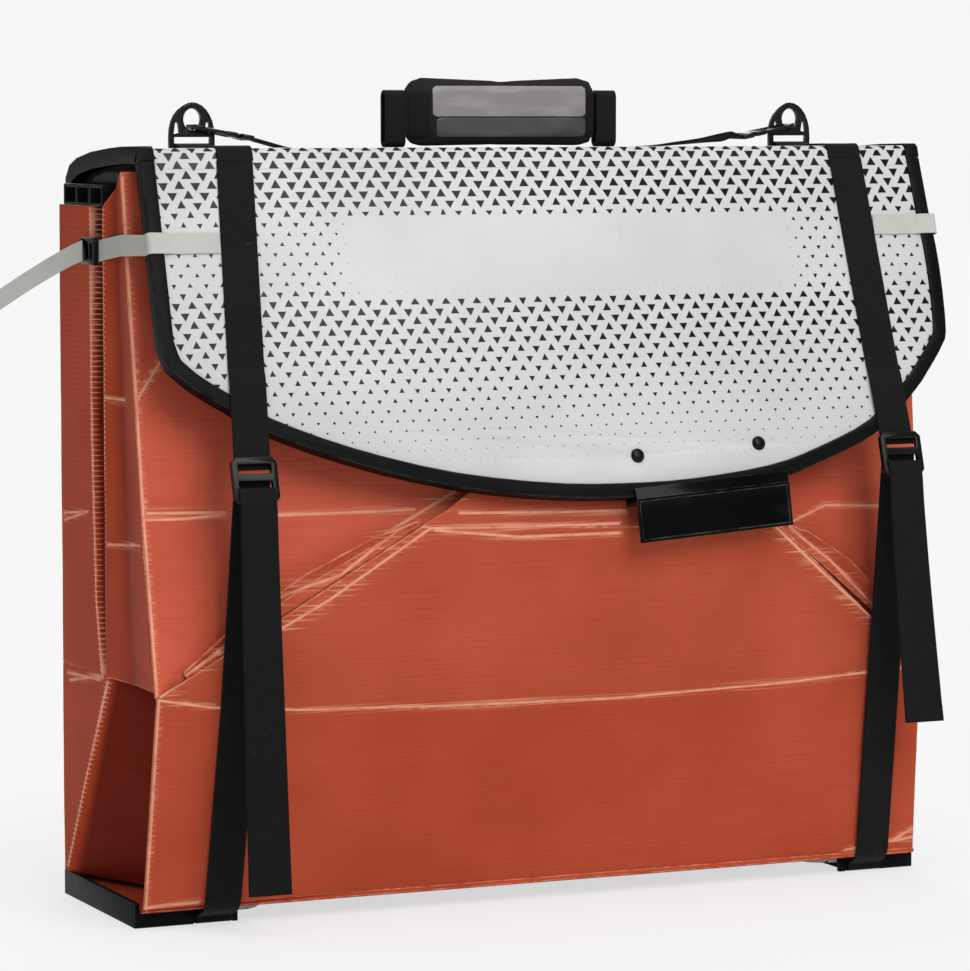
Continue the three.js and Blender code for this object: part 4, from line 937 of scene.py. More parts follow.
LOWER_SHEET = SheetFinish(
    "sheet_lower",
    "A7462F",
    "B34F37",
    creases=(MAIN_CREASE, *FOOT_CREASES, ((-418.6, 225), (-418.6, 22))),
)
BELLY_SHEET = SheetFinish(
    "sheet_belly",
    "A74932",
    "B3523A",
    creases=(MAIN_CREASE, *BROW_CREASES),
    pleats=(LEFT_PLEAT_UP, LEFT_PLEAT_LOW, LEFT_PLEAT_FAR, RIGHT_PLEAT_UP, RIGHT_PLEAT_LOW),
)
PLEAT_SHEET = SheetFinish(
    "sheet_pleat",
    "AA4830",
    "B65139",
    pleats=(LEFT_PLEAT_UP, LEFT_PLEAT_LOW, LEFT_PLEAT_FAR, LEFT_PLEAT_FOOT, RIGHT_PLEAT_UP, RIGHT_PLEAT_LOW),
)
# Painted light: the facets take a lighter copy of the sheet's orange, standing for the top light that they
# catch as they lean up.
LIT_FACET_SHEET = SheetFinish(
    "sheet_facet_lit",
    "B9523C",
    "C65C45",
    creases=(*LEFT_FACET_CREASES, *RIGHT_FACET_CREASES, LEFT_RIDGE),
    pleats=(LEFT_PLEAT_UP, RIGHT_PLEAT_UP),
)
SIDE_SHEET = SheetFinish(
    "sheet_side",
    "A53E22",
    "B04628",
    view=View.SIDE,
    creases=SIDE_CREASES,
    ladders=SIDE_LADDERS,
)
PLAIN_SHEET = SheetFinish("sheet_plain", "AB4428", "B64C2F")
# Painted shade: the inner leaves take a darker copy of the hull sheet's red, standing for the shade inside
# the box.
SHADED_INNER_SHEET = SheetFinish("sheet_inner_shaded", "742412", "832C18")
FLAP_BOARD = BoardFinish("board_flap", Print.FLAP)
LID_BOARD = BoardFinish("board_lid", Print.LID)
BACK_BOARD = BoardFinish("board_back", Print.BACK)
BARE_BOARD = BoardFinish("board_bare", Print.BARE)
EDGING = MouldedFinish("edging", "090A0A", 0.44, wear_and_highlight=0.3, gloss=0.06)
# Painted highlight: the clip's rims blend strongly to light grey, standing for the light that glints along
# its rounded edges.
CLIP_BLACK = MouldedFinish("clip_black", "030303", 0.16, worn="7A7C7B", wear_and_highlight=0.6, depth=0.02, gloss=0.08)
BUCKLE_BLACK = MouldedFinish("buckle_black", "050505", 0.28, wear_and_highlight=0.2, depth=0.03, gloss=0.16)
RING_BLACK = MouldedFinish("ring_black", "060606", 0.24, wear_and_highlight=0.5, depth=0.03, gloss=0.3)
BLACK_WEBBING = WovenFinish("black_webbing", "030303", "0F0F0F", 1.5)
LOOP_WEBBING = WovenFinish("loop_webbing", "060606", "151515", 1.5, lie=Lie.UPRIGHT)
GREY_WEBBING = WovenFinish("grey_webbing", "A7AAA2", "C4C7BF", 1.1, sheen=0.02)
PAD_CLOTH = WovenFinish("pad_cloth", "101010", "222222", 0.9, lie=Lie.UPRIGHT, depth=0.15)
DARK_FOAM = FoamFinish("dark_foam", "26282A", "3A3D3F")
SEAT_FOAM = FoamFinish("seat_foam", "202122", "333536")
UPPER_FILM = FilmFinish("upper_film", "7F7B7A", "938E8D", 0.45)
LOWER_FILM = FilmFinish("lower_film", "3A3A3A", "484848", 0.4)


@dataclass(frozen=True)
class Panel:
    """One ply of the hull: its node, its finish and how it is shaped."""

    node: str
    finish: Finish
    way: Place
    cell: float = 14.0
    wave: float = 0.5
    slot: str = "sheet"
    swell: float = 0.0
    ridges: tuple[Line, ...] = ()


FRONTWARDS = (0, -1, 0)
LEFTWARDS = (-1, 0, 0)
RIGHTWARDS = (1, 0, 0)
BACKWARDS = (0, 1, 0)
DOWNWARDS = (0, 0, -1)


@dataclass
class Hull(SubAssembly):
    """The folded corrugated hull."""

    rim: float = 0.9
    waves: tuple[Place, ...] = ((1.0, 70.0, 3.1), (0.3, 18.0, 1.7))
    tucked: float = 11.0
    tucked_corner: Place = (0.215, 0.37, 0.415)
    foot_top: float = 0.25
    foot_lines: tuple[Place, Place] = ((419.2, 226.0, 0.575), (402.8, 212.5, 0.8))
    ridge_height: float = 0.45
    ridge_half: float = 2.2
    panels: tuple[Panel, ...] = (
        Panel("hull_front_lower", LOWER_SHEET, FRONTWARDS, 9.0, swell=0.8),
        Panel("hull_front_belly", BELLY_SHEET, FRONTWARDS, 9.0, swell=0.9, ridges=BROW_CREASES[:2]),
        Panel("hull_front_brow", BELLY_SHEET, FRONTWARDS, 11.0, swell=1.5),
        Panel("hull_pleat_left", PLEAT_SHEET, FRONTWARDS, 7.0, 0.7, swell=1.3),
        Panel("hull_pleat_right", PLEAT_SHEET, FRONTWARDS, 7.0, 0.7, swell=1.3),
        Panel("hull_facet_left", LIT_FACET_SHEET, FRONTWARDS, 11.0, swell=1.1, ridges=LEFT_FACET_CREASES),
        Panel("hull_facet_right", LIT_FACET_SHEET, FRONTWARDS, 11.0, swell=1.1, ridges=RIGHT_FACET_CREASES),
        Panel("hull_side_left", SIDE_SHEET, LEFTWARDS, 9.0, 0.6, swell=0.8, ridges=SIDE_RIDGES),
        Panel("hull_side_right", SIDE_SHEET, RIGHTWARDS, 9.0, 0.6, swell=0.8, ridges=SIDE_RIDGES),
        Panel("hull_gusset_left", SIDE_SHEET, LEFTWARDS, 9.0, 0.6, swell=0.8),
        Panel("hull_gusset_right", SIDE_SHEET, RIGHTWARDS, 9.0, 0.6, swell=0.8),
        Panel("hull_back", PLAIN_SHEET, BACKWARDS, 24.0, 0.2),
        Panel("hull_bottom", PLAIN_SHEET, DOWNWARDS, 24.0, 0.1),
        Panel("hull_inner_leaves", SHADED_INNER_SHEET, BACKWARDS, 24.0, 0.3, "inner_sheet"),
    )

    def widen(self, piece: bpy.types.Object, way: Vector, reach: float) -> None:
        """Widens a panel in its own plane, so that it meets its neighbours.

        Args:
            piece: the panel.
            way: outwards.
            reach: how much further each edge stands, in millimetres.
        """
        low, high = (Vector(piece.bound_box[corner]) for corner in (0, 6))
        middle, half = (low + high) / 2, (high - low) / 2
        for axis in range(3):
            if abs(way[axis]) < 0.5:
                for vertex in piece.data.vertices:
                    vertex.co[axis] += (vertex.co[axis] - middle[axis]) / half[axis] * reach * MM

    def tuck(self, piece: bpy.types.Object) -> None:
        """Tucks a side facet's inner corner behind the brow and its foot behind the belly.

        Args:
            piece: the facet.
        """
        inner, low, high = self.tucked_corner
        for vertex in piece.data.vertices:
            across, _, up = vertex.co
            out = abs(across)
            if out < inner and low < up < high:
                vertex.co.x -= math.copysign(self.tucked * MM, across)
            if up < self.foot_top:
                reach, height, slope = self.foot_lines[across > 0]
                vertex.co.z = height * MM + slope * (reach * MM - out)

    def raise_crease(self, piece: bpy.types.Object, view: View, way: Vector, start: Flat, end: Flat) -> None:
        """Cuts a crease into a panel and lifts its middle into a low ridge.

        Args:
            piece: the panel.
            view: the drawing that the crease is placed in.
            way: outwards.
            start: one end in the drawing, in millimetres.
            end: the other end.
        """
        front = view is View.FRONT
        first, last = (Vector((p[0], 0, p[1]) if front else (0, p[0], p[1])) * MM for p in (start, end))
        run = last - first
        aside = run.cross(Vector(BACKWARDS if front else RIGHTWARDS)).normalized()
        half = self.ridge_half * MM
        for shift in (-half, 0.0, half):
            with editing(piece):
                bpy.ops.mesh.bisect(plane_co=first + aside * shift, plane_no=aside)
        mask = Vector(view.value)
        for vertex in piece.data.vertices:
            if vertex.normal.dot(way) < 0.2:
                continue
            reach = Vector([c * m for c, m in zip(vertex.co, mask)]) - first
            along = reach.dot(run) / run.length_squared
            if 0 <= along <= 1 and abs(reach.dot(aside)) < 0.05 * half:
                vertex.co += way * (self.ridge_height * MM)

    def build(self) -> None:
        """Makes every ply."""
        for index, panel in enumerate(self.panels):
            piece = copy_node(panel.node, f"{panel.node}_sheet")
            way = Vector(panel.way)
            self.widen(piece, way, panel.swell)
            if panel.finish is LIT_FACET_SHEET:
                self.tuck(piece)
            bevel(piece, self.rim, 2, 38.0)
            for line in panel.ridges:
                for start, end in zip(line, line[1:]):
                    self.raise_crease(piece, panel.finish.view, way, start, end)
            refine(piece, panel.cell)
            for share, size, seed in self.waves:
                ripple(piece, way, panel.wave * share, size, seed * index)
            smooth(piece, 32.0)
            self.keep(piece, panel.finish, "box", panel.slot, panel.node)


@dataclass
class Cover(SubAssembly):
    """The floorboard that wraps the block: base, back, lid and flap, with its black edging."""

    skin_ends: Flat = (-397.4, 400.0)
    skin_reach: float = 8.0
    skin_wall: float = 1.2
    skin_proud: float = 0.22

    def skin(self, name: str, fold: Fold, outwards: Place, finish: Finish) -> None:
        """Makes the skin of the board that runs on over a fold.

        Args:
            name: the piece's name.
            fold: the fold.
            outwards: away from the box, square to the board.
            finish: the board's finish.
        """
        bpy.ops.mesh.primitive_grid_add(x_subdivisions=8, y_subdivisions=16, size=1.0)
        piece = bpy.context.active_object
        piece.name = name
        middle, run, out = Vector(fold.middle), Vector(fold.run), Vector(outwards)
        left, right = self.skin_ends
        proud = self.skin_proud - self.skin_wall / 2
        for vertex in piece.data.vertices:
            place = middle + run * (2 * vertex.co.y * self.skin_reach) + out * proud
            place.x = left + (vertex.co.x + 0.5) * (right - left)
            vertex.co = place * MM
        thicken(piece, self.skin_wall, 0.4)
        self.keep(piece, finish, fold, "board")

    def build(self) -> None:
        """Makes the boards, the edging and the base ends."""
        self.from_node("base_board", BARE_BOARD, "box", "board", 0.5)
        self.from_node("cover_back", BACK_BOARD, "box", "board", 0.5)
        self.from_node("cover_lid", LID_BOARD, "lid", "board", 0.5)
        self.from_node("flap_board", FLAP_BOARD, "flap", "board", 0.4)
        self.from_node("flap_edging", EDGING, "flap", "edging", 1.3, 3, 50.0)
        for word in SIDES:
            self.from_node(f"lid_edging_{word}", EDGING, "lid", "edging", 1.3, 3, 50.0)
            self.from_node(f"base_trim_{word}", EDGING, "box", "edging", 0.7, 2)
        for number in (1, 2, 3):
            self.from_node(f"seam_rail_{number}", EDGING, "box", "edging", 0.6, 2)
        self.skin("lid_fold_skin", LID_FOLD, BACKWARDS, LID_BOARD)
        self.skin("flap_fold_skin", FLAP_FOLD, FLAP_OUT, FLAP_BOARD)


@dataclass
class Stowage(SubAssembly):
    """What is packed inside: bulkheads, seat, footrest and the foam pad under the lid."""

    foams: tuple[tuple[str, FoamFinish, Place, float, float], ...] = (
        ("seat", SEAT_FOAM, BACKWARDS, 4.0, 0.9),
        ("footrest", SEAT_FOAM, BACKWARDS, 4.0, 0.9),
        ("deck_pad", DARK_FOAM, (0, 0, 1), 2.6, 0.85),
    )

    def build(self) -> None:
        """Makes the plates and the foam pieces."""
        for word in ("bow", "stern"):
            self.from_node(f"bulkhead_{word}", PLAIN_SHEET, "box", "sheet", 0.8)
        for node, finish, way, width, fill in self.foams:
            piece = copy_node(node, f"{node}_foam")
            bevel(piece, width, 4, 20.0)
            refine(piece, 12.0)
            ripple(piece, Vector(way), 0.5, 45.0, 4.2)
            smooth(piece, 50.0)
            self.keep(piece, finish, "box", "foam", node)


FLAP_FRAME = Matrix((
    (1, 0, 0, 0),
    (*(-v for v in FLAP_DOWN), 0),
    (*FLAP_OUT, 0),
    (*(v * MM for v in FLAP_EDGE), 1),
)).transposed()


@dataclass
class Closure(SubAssembly):
    """The clip under the flap's edge and the two rivets that hold it."""

    places: tuple[tuple[str, float, float], ...] = (("left", 63.0, 295.5), ("right", 195.0, 287.5))
    frame_width: float = 2.4
    frame_height: float = 0.8
    shank_radius: float = 3.0
    shank_foot: float = -7.7
    shank_top: float = 0.3
    head: tuple[Flat, ...] = ((7.0, 0.0), (7.0, 0.35), (6.7, 1.0), (5.9, 1.9), (4.5, 2.75), (2.5, 3.25))
    tail: tuple[Flat, ...] = ((5.5, 0.0), (5.5, -1.0), (4.9, -1.5))

    def rivet(self, word: str, across: float, down: float) -> bpy.types.Object:
        """One rivet: a shank with a domed head, drawn up from a round bar.

        Args:
            word: which rivet.
            across: its place across the flap in millimetres.
            down: its place down the flap.

        Returns:
            The rivet.
        """
        bpy.ops.mesh.primitive_cylinder_add(
            vertices=36,
            radius=self.shank_radius * MM,
            depth=(self.shank_top - self.shank_foot) * MM,
            location=(0, 0, (self.shank_top + self.shank_foot) / 2 * MM),
        )
        piece = bpy.context.active_object
        piece.name = f"rivet_{word}"
        bpy.ops.object.transform_apply(location=True, rotation=False, scale=False)
        for sense, profile in ((1.0, self.head), (-1.0, self.tail)):
            heights = [sense * face.center.z for face in piece.data.polygons]
            with editing_some(piece, "FACE", [height > max(heights) - 0.01 * MM for height in heights]):
                radius, height = self.shank_radius, 0.0
                for next_radius, next_height in profile:
                    move = (0, 0, (next_height - height) * MM)
                    bpy.ops.mesh.extrude_region_move(TRANSFORM_OT_translate={"value": move})
                    scale = next_radius / radius
                    bpy.ops.transform.resize(value=(scale, scale, 1))
                    radius, height = next_radius, next_height
        piece.data.transform(FLAP_FRAME @ Matrix.Translation((across * MM, -down * MM, 0)))
        smooth(piece, 40.0)
        return piece

    def clip(self) -> None:
        """The clip, its plate sunk inside a narrow raised frame."""
        piece = copy_node("flap_clip", "flap_clip_piece")
        with editing(piece):
            bpy.ops.mesh.dissolve_limited(angle_limit=math.radians(1.0))
        faces = piece.data.polygons
        plate = max((face for face in faces if face.normal.y < -0.9), key=lambda face: face.area).index
        with editing_some(piece, "FACE", [face.index == plate for face in faces]):
            bpy.ops.mesh.inset(thickness=self.frame_width * MM, depth=0.0)
            bpy.ops.mesh.inset(thickness=0.8 * MM, depth=-self.frame_height * MM)
        bevel(piece, 0.45, 3, 20.0)
        smooth(piece)
        self.keep(piece, CLIP_BLACK, "flap", "moulded", "flap_clip")

    def build(self) -> None:
        """Makes the clip and the rivets."""
        self.clip()
        for word, across, down in self.places:
            self.keep(self.rivet(word, across, down), BUCKLE_BLACK, "flap", "moulded", f"flap_rivet_{word}")


@dataclass(frozen=True)
class Run:
    """A stretch of webbing: centre points in millimetres, each with its vector from edge to edge.

    A spare one goes on from another stretch and stands for no node of its own.
    """

    node: str
    body: str | Fold
    stations: tuple[Station, ...]
    wall: float = 2.0
    fillet: float = 9.0
    hem: float = 0.0
    wave: float = 0.25
    spare: bool = False


def eased(stations: Sequence[Station]) -> tuple[Station, ...]:
    """The stations with close ones added after the first, where the webbing bends over a hinge.

    Args:
        stations: the band's stations.

    Returns:
        The stations with the added ones.
    """
    first, second = stations[:2]
    length = (Vector(second[:3]) - Vector(first[:3])).length
    steps = (2.0, 4.0, 6.0, 8.5, 11.0)
    ease = [tuple(a + (b - a) * step / length for a, b in zip(first, second)) for step in steps]
    return (first, *ease, *stations[1:])


def band_stations(
    x_places: Sequence[float],
    line: Sequence[Flat],
    widths: Sequence[float],
) -> tuple[Station, ...]:
    """Stations of a band that lies across the width.

    Args:
        x_places: their places across.
        line: their places back and up.
        widths: the band's widths there.

    Returns:
        The stations.
    """
    return tuple((x, y, z, w, 0.0, 0.0) for x, (y, z), w in zip(x_places, line, widths))


LID_LINE = (
    (161.8, 690.2), (161.8, 702.5), (150.2, 714.7), (128.9, 721.6), (86.7, 728.0),
    (77.6, 728.7), (68.2, 735.5), (57.0, 735.5), (47.6, 730.8), (34.6, 731.9),
    (-0.4, 733.6), (-44.5, 734.3), (-48.7, 734.3), (-52.6, 731.4), (-55.5, 721.6),
)


def side_stations(side: float, z: float, x_edge: Sequence[float]) -> tuple[Station, ...]:
    """Stations of a grey strap round one side.

    Args:
        side: -1 at the left, 1 at the right.
        z: how much higher than the left one it lies.
        x_edge: the places across of the first six stations.

    Returns:
        The stations.
    """
    front = ((-78.1, 645.1), (-78.1, 645.1), (-80.0, 645.7), (-81.1, 646.1), (-78.0, 645.1), (-72.9, 643.6))
    back = 0.3 * z
    rows = [(x, y + back, h + z, 0.0, 5.7, 19.2) for x, (y, h) in zip(x_edge, front)]
    round_side = ((-29.6 + back, 642.4), (22.5, 636.9), (37.5, 634.9))
    rows += [(side * 422.4, y, h + z, 0.0, 0.0, 20.0) for y, h in round_side]
    return tuple(rows)


def tail_stations(side: float, z: float) -> tuple[Station, ...]:
    """Stations of the loose end of a side strap, as it stands away from the side.

    Args:
        side: -1 at the left, 1 at the right.
        z: how much higher than the left one it lies.

    Returns:
        The stations.
    """
    line = (
        (429.2, 62.5, 634.9),
        (435.2, 68.1, 631.9),
        (453.0, 80.9, 620.6),
        (474.4, 94.7, 605.3),
        (497.0, 108.4, 588.0),
    )
    return tuple((side * x, y, h + z, 0.0, 0.0, 20.0) for x, y, h in line)


BLACK_RUNS = (
    Run(
        "strap_lid_left",
        LID_FOLD,
        eased(band_stations([-318.2] * 15, LID_LINE, [36] * 15)),
        fillet=6.0,
        wave=0.1,
    ),
    Run(
        "strap_lid_right",
        LID_FOLD,
        eased(band_stations([329.8] * 15, LID_LINE, [36] * 15)),
        fillet=6.0,
        wave=0.1,
    ),
    Run(
        "strap_flap_left",
        FLAP_FOLD,
        eased(band_stations(
            (-319.0, -330.4, -330.8, -335.7),
            ((-55.7, 721.2), (-113.9, 527.2), (-117.8, 521.1), (-142.9, 437.5)),
            [36] * 4,
        )),
        wave=0.1,
    ),
    Run(
        "strap_flap_right",
        FLAP_FOLD,
        eased(band_stations(
            (330.4, 340.6, 340.9, 344.3),
            ((-55.7, 721.2), (-117.6, 514.6), (-121.6, 508.5), (-142.0, 440.4)),
            [36] * 4,
        )),
        wave=0.1,
    ),
    Run(
        "strap_loop_left",
        "box",
        band_stations(
            (-336.2, -339.8, -342.2, -342.2, -342.2, -342.2, -342.2, -318.2),
            ((-144.2, 432.7), (-116.9, 220.2), (-75.8, 16.9), (-52.1, 7.8),
             (-52.1, 1.3), (156.7, 1.3), (162.1, 14.3), (161.8, 689.8)),
            [36] * 8,
        ),
        fillet=14.0,
        wave=0.1,
    ),
    Run(
        "strap_loop_right",
        "box",
        band_stations(
            (344.8, 353.8, 359.8, 359.8, 359.8, 359.8, 359.8, 329.8),
            ((-143.3, 435.5), (-101.4, 210.0), (-69.0, 17.1), (-52.1, 7.9),
             (-52.1, 1.3), (156.7, 1.3), (162.1, 14.3), (161.8, 689.8)),
            [36] * 8,
        ),
        fillet=14.0,
        wave=0.1,
    ),
    Run(
        "strap_tail_left",
        "left_strap_tail",
        band_stations(
            (-336.2, -336.2, -335.6, -332.9, -328.8, -324.0, -323.2),
            ((-156.4, 422.3), (-160.8, 407.6), (-160.7, 370.8), (-159.7, 279.3),
             (-157.0, 169.5), (-152.6, 57.4), (-151.8, 41.4)),
            (36, 36, 36.7, 38.5, 40.5, 42.7, 43),
        ),
        fillet=40.0,
        hem=16.0,
    ),
    Run(
        "strap_tail_right",
        "right_strap_tail",
        band_stations(
            (344.8, 344.8, 346.2, 351.9, 360.7, 370.4, 372.8),
            ((-155.6, 425.1), (-160.0, 410.4), (-159.9, 385.7), (-158.9, 324.2),
             (-156.2, 250.3), (-152.1, 180.2), (-151.0, 164.2)),
            (36, 36, 36.7, 38.5, 40.6, 42.5, 43),
        ),
        fillet=40.0,
        hem=16.0,
    ),
    Run(
        "carry_strap",
        "lid",
        ((-200.0, 62.5, 730.7, 0, 25, 0), (-20.0, 62.5, 730.7, 0, 25, 0), (150.0, 62.5, 730.7, 0, 25, 0)),
        wave=0.0,
    ),
    Run(
        "carry_end_left",
        Fold("lid", "left_hook", (-230.0, 62.5, 735.0), (-1.0, 0.0, 0.0), 25.0),
        (
            (-258.8, 62.5, 741.0, 0, 25, 0), (-239.8, 62.5, 735.9, 0, 25, 0), (-220.8, 62.5, 730.7, 0, 25, 0),
            (-200.0, 62.5, 730.7, 0, 25, 0),
        ),
        fillet=14.0,
        wave=0.0,
        spare=True,
    ),
    Run(
        "carry_end_right",
        Fold("lid", "right_hook", (222.0, 62.5, 735.0), (1.0, 0.0, 0.0), 42.0),
        (
            (150.0, 62.5, 730.7, 0, 25, 0), (163.0, 62.5, 730.9, 0, 25, 0),
            (190.0, 62.5, 734.0, 0, 24.9, -2.2), (222.0, 62.5, 737.0, 0, 24.7, -3.9),
            (246.0, 62.5, 740.4, 0, 23.8, -7.7), (259.0, 62.5, 741.8, 0, 23.2, -9.4),
            (266.0, 62.5, 741.4, 0, 24.7, -3.9), (270.3, 62.5, 741.0, 0, 25, 0),
        ),
        fillet=14.0,
        wave=0.0,
        spare=True,
    ),
)
GREY_RUNS = (
    Run(
        "side_strap_left",
        "flap",
        side_stations(-1, 0.0, (-342.4, -388.2, -395.2, -412.2, -414.3, -414.3)),
        1.2,
        fillet=3.0,
        wave=0.0,
    ),
    Run("side_tail_left", "left_side_tail", tail_stations(-1, 0.0), 1.2, fillet=12.0, hem=9.0),
    Run(
        "side_strap_right",
        "flap",
        side_stations(1, 9.6, (352.5, 397.2, 404.2, 421.2, 423.3, 423.3)),
        1.2,
        fillet=3.0,
        wave=0.0,
    ),
    Run("side_tail_right", "right_side_tail", tail_stations(1, 9.6), 1.2, fillet=12.0, hem=9.0),
)


@dataclass
class Straps(SubAssembly):
    """All the webbing, made along its stations with rounded turns and raised edges."""

    step: float = 14.0
    turn_steps: int = 5
    hem_growth: float = 1.7
    lift_scale: float = 30.0
    section: tuple[Flat, ...] = (
        (-1.0, 0.45), (-0.975, 0.95), (-0.92, 1.12), (-0.86, 0.96), (-0.5, 1.0), (0.0, 1.0),
        (0.5, 1.0), (0.86, 0.96), (0.92, 1.12), (0.975, 0.95), (1.0, 0.45),
    )

    def line(self, run: Run) -> list[tuple[Vector, Vector]]:
        """The run's centre points and half-width vectors, with its corners rounded.

        Args:
            run: the stretch of webbing.

        Returns:
            Pairs of centre and half-width, in metres.
        """
        points = [(Vector(s[:3]) * MM, Vector(s[3:6]) * MM / 2) for s in run.stations]
        line = [points[0]]
        for before, here, after in zip(points, points[1:], points[2:]):
            back, ahead = before[0] - here[0], after[0] - here[0]
            reach = min(run.fillet * MM, 0.45 * back.length, 0.45 * ahead.length)
            start = [here[k].lerp(before[k], reach / back.length) for k in (0, 1)]
            end = [here[k].lerp(after[k], reach / ahead.length) for k in (0, 1)]
            for i in range(self.turn_steps + 1):
                t = i / self.turn_steps
                line.append(tuple(start[k].lerp(here[k], t).lerp(here[k].lerp(end[k], t), t) for k in (0, 1)))
        line.append(points[-1])
        full = [line[0]]
        for here, after in zip(line, line[1:]):
            count = max(1, math.ceil((after[0] - here[0]).length / (self.step * MM)))
            full += [tuple(here[k].lerp(after[k], i / count) for k in (0, 1)) for i in range(1, count + 1)]
        return full

    def mesh(self, run: Run, name: str) -> bpy.types.Object:
        """Weaves one stretch into a mesh with its own flat map.

        Args:
            run: the stretch of webbing.
            name: the piece's name.

        Returns:
            The piece.
        """
        line = self.line(run)
        gone = [0.0]
        for here, after in zip(line, line[1:]):
            gone.append(gone[-1] + (after[0] - here[0]).length)
        section = [*self.section, *((u, -n) for u, n in reversed(self.section))]
        points, maps = [], []
        for i, (centre, half) in enumerate(line):
            tangent = (line[min(i + 1, len(line) - 1)][0] - line[max(i - 1, 0)][0]).normalized()
            through = tangent.cross(half).normalized()
            thick = run.wall * MM / 2
            if run.hem and gone[-1] - gone[i] < run.hem * MM:
                thick *= self.hem_growth
            spot = centre * self.lift_scale + Vector((len(name), 0, 0))
            lift = noise.noise(spot) * run.wave * MM
            for u, n in section:
                points.append(centre + half * u + through * (n * thick + lift * (1 - u * u)))
                maps.append((half.length * u, gone[i]))
        size = len(section)
        last = (len(line) - 1) * size
        faces = []
        for ring in range(0, last, size):
            for j in range(size):
                k = (j + 1) % size
                faces.append((ring + j, ring + k, ring + size + k, ring + size + j))
        faces += [tuple(reversed(range(size))), tuple(range(last, last + size))]
        mesh = bpy.data.meshes.new(name)
        mesh.from_pydata(points, [], faces)
        layer = mesh.uv_layers.new(name="UVMap")
        for loop in mesh.loops:
            layer.data[loop.index].uv = maps[loop.vertex_index]
        piece = bpy.data.objects.new(name, mesh)
        bpy.context.scene.collection.objects.link(piece)
        face_outwards(piece)
        smooth(piece, 55.0)
        return piece

    def build(self) -> None:
        """Makes every stretch."""
        sets = ((BLACK_RUNS, BLACK_WEBBING, "webbing"), (GREY_RUNS, GREY_WEBBING, "grey_webbing"))
        for runs, finish, slot in sets:
            for run in runs:
                nodes = () if run.spare else (run.node,)
                self.keep(self.mesh(run, f"{run.node}_webbing"), finish, run.body, slot, *nodes)


@dataclass
class Hardware(SubAssembly):
    """Buckles, rings, hooks and gates."""

    def build(self) -> None:
        """Makes each piece with rounded, rubbed edges."""
        for word in SIDES:
            self.from_node(f"buckle_{word}", BUCKLE_BLACK, f"{word}_buckle", "moulded", 1.3, 3)
            self.from_node(f"side_buckle_{word}", BUCKLE_BLACK, f"{word}_side_buckle", "moulded", 0.9, 3)
            self.from_node(f"ring_{word}", RING_BLACK, f"{word}_ring", "moulded", 1.2, 3)
            self.from_node(f"hook_{word}", RING_BLACK, f"{word}_hook", "moulded", 1.1, 3)
            self.from_node(f"hook_gate_{word}", RING_BLACK, f"{word}_gate", "moulded", 0.8, 2)


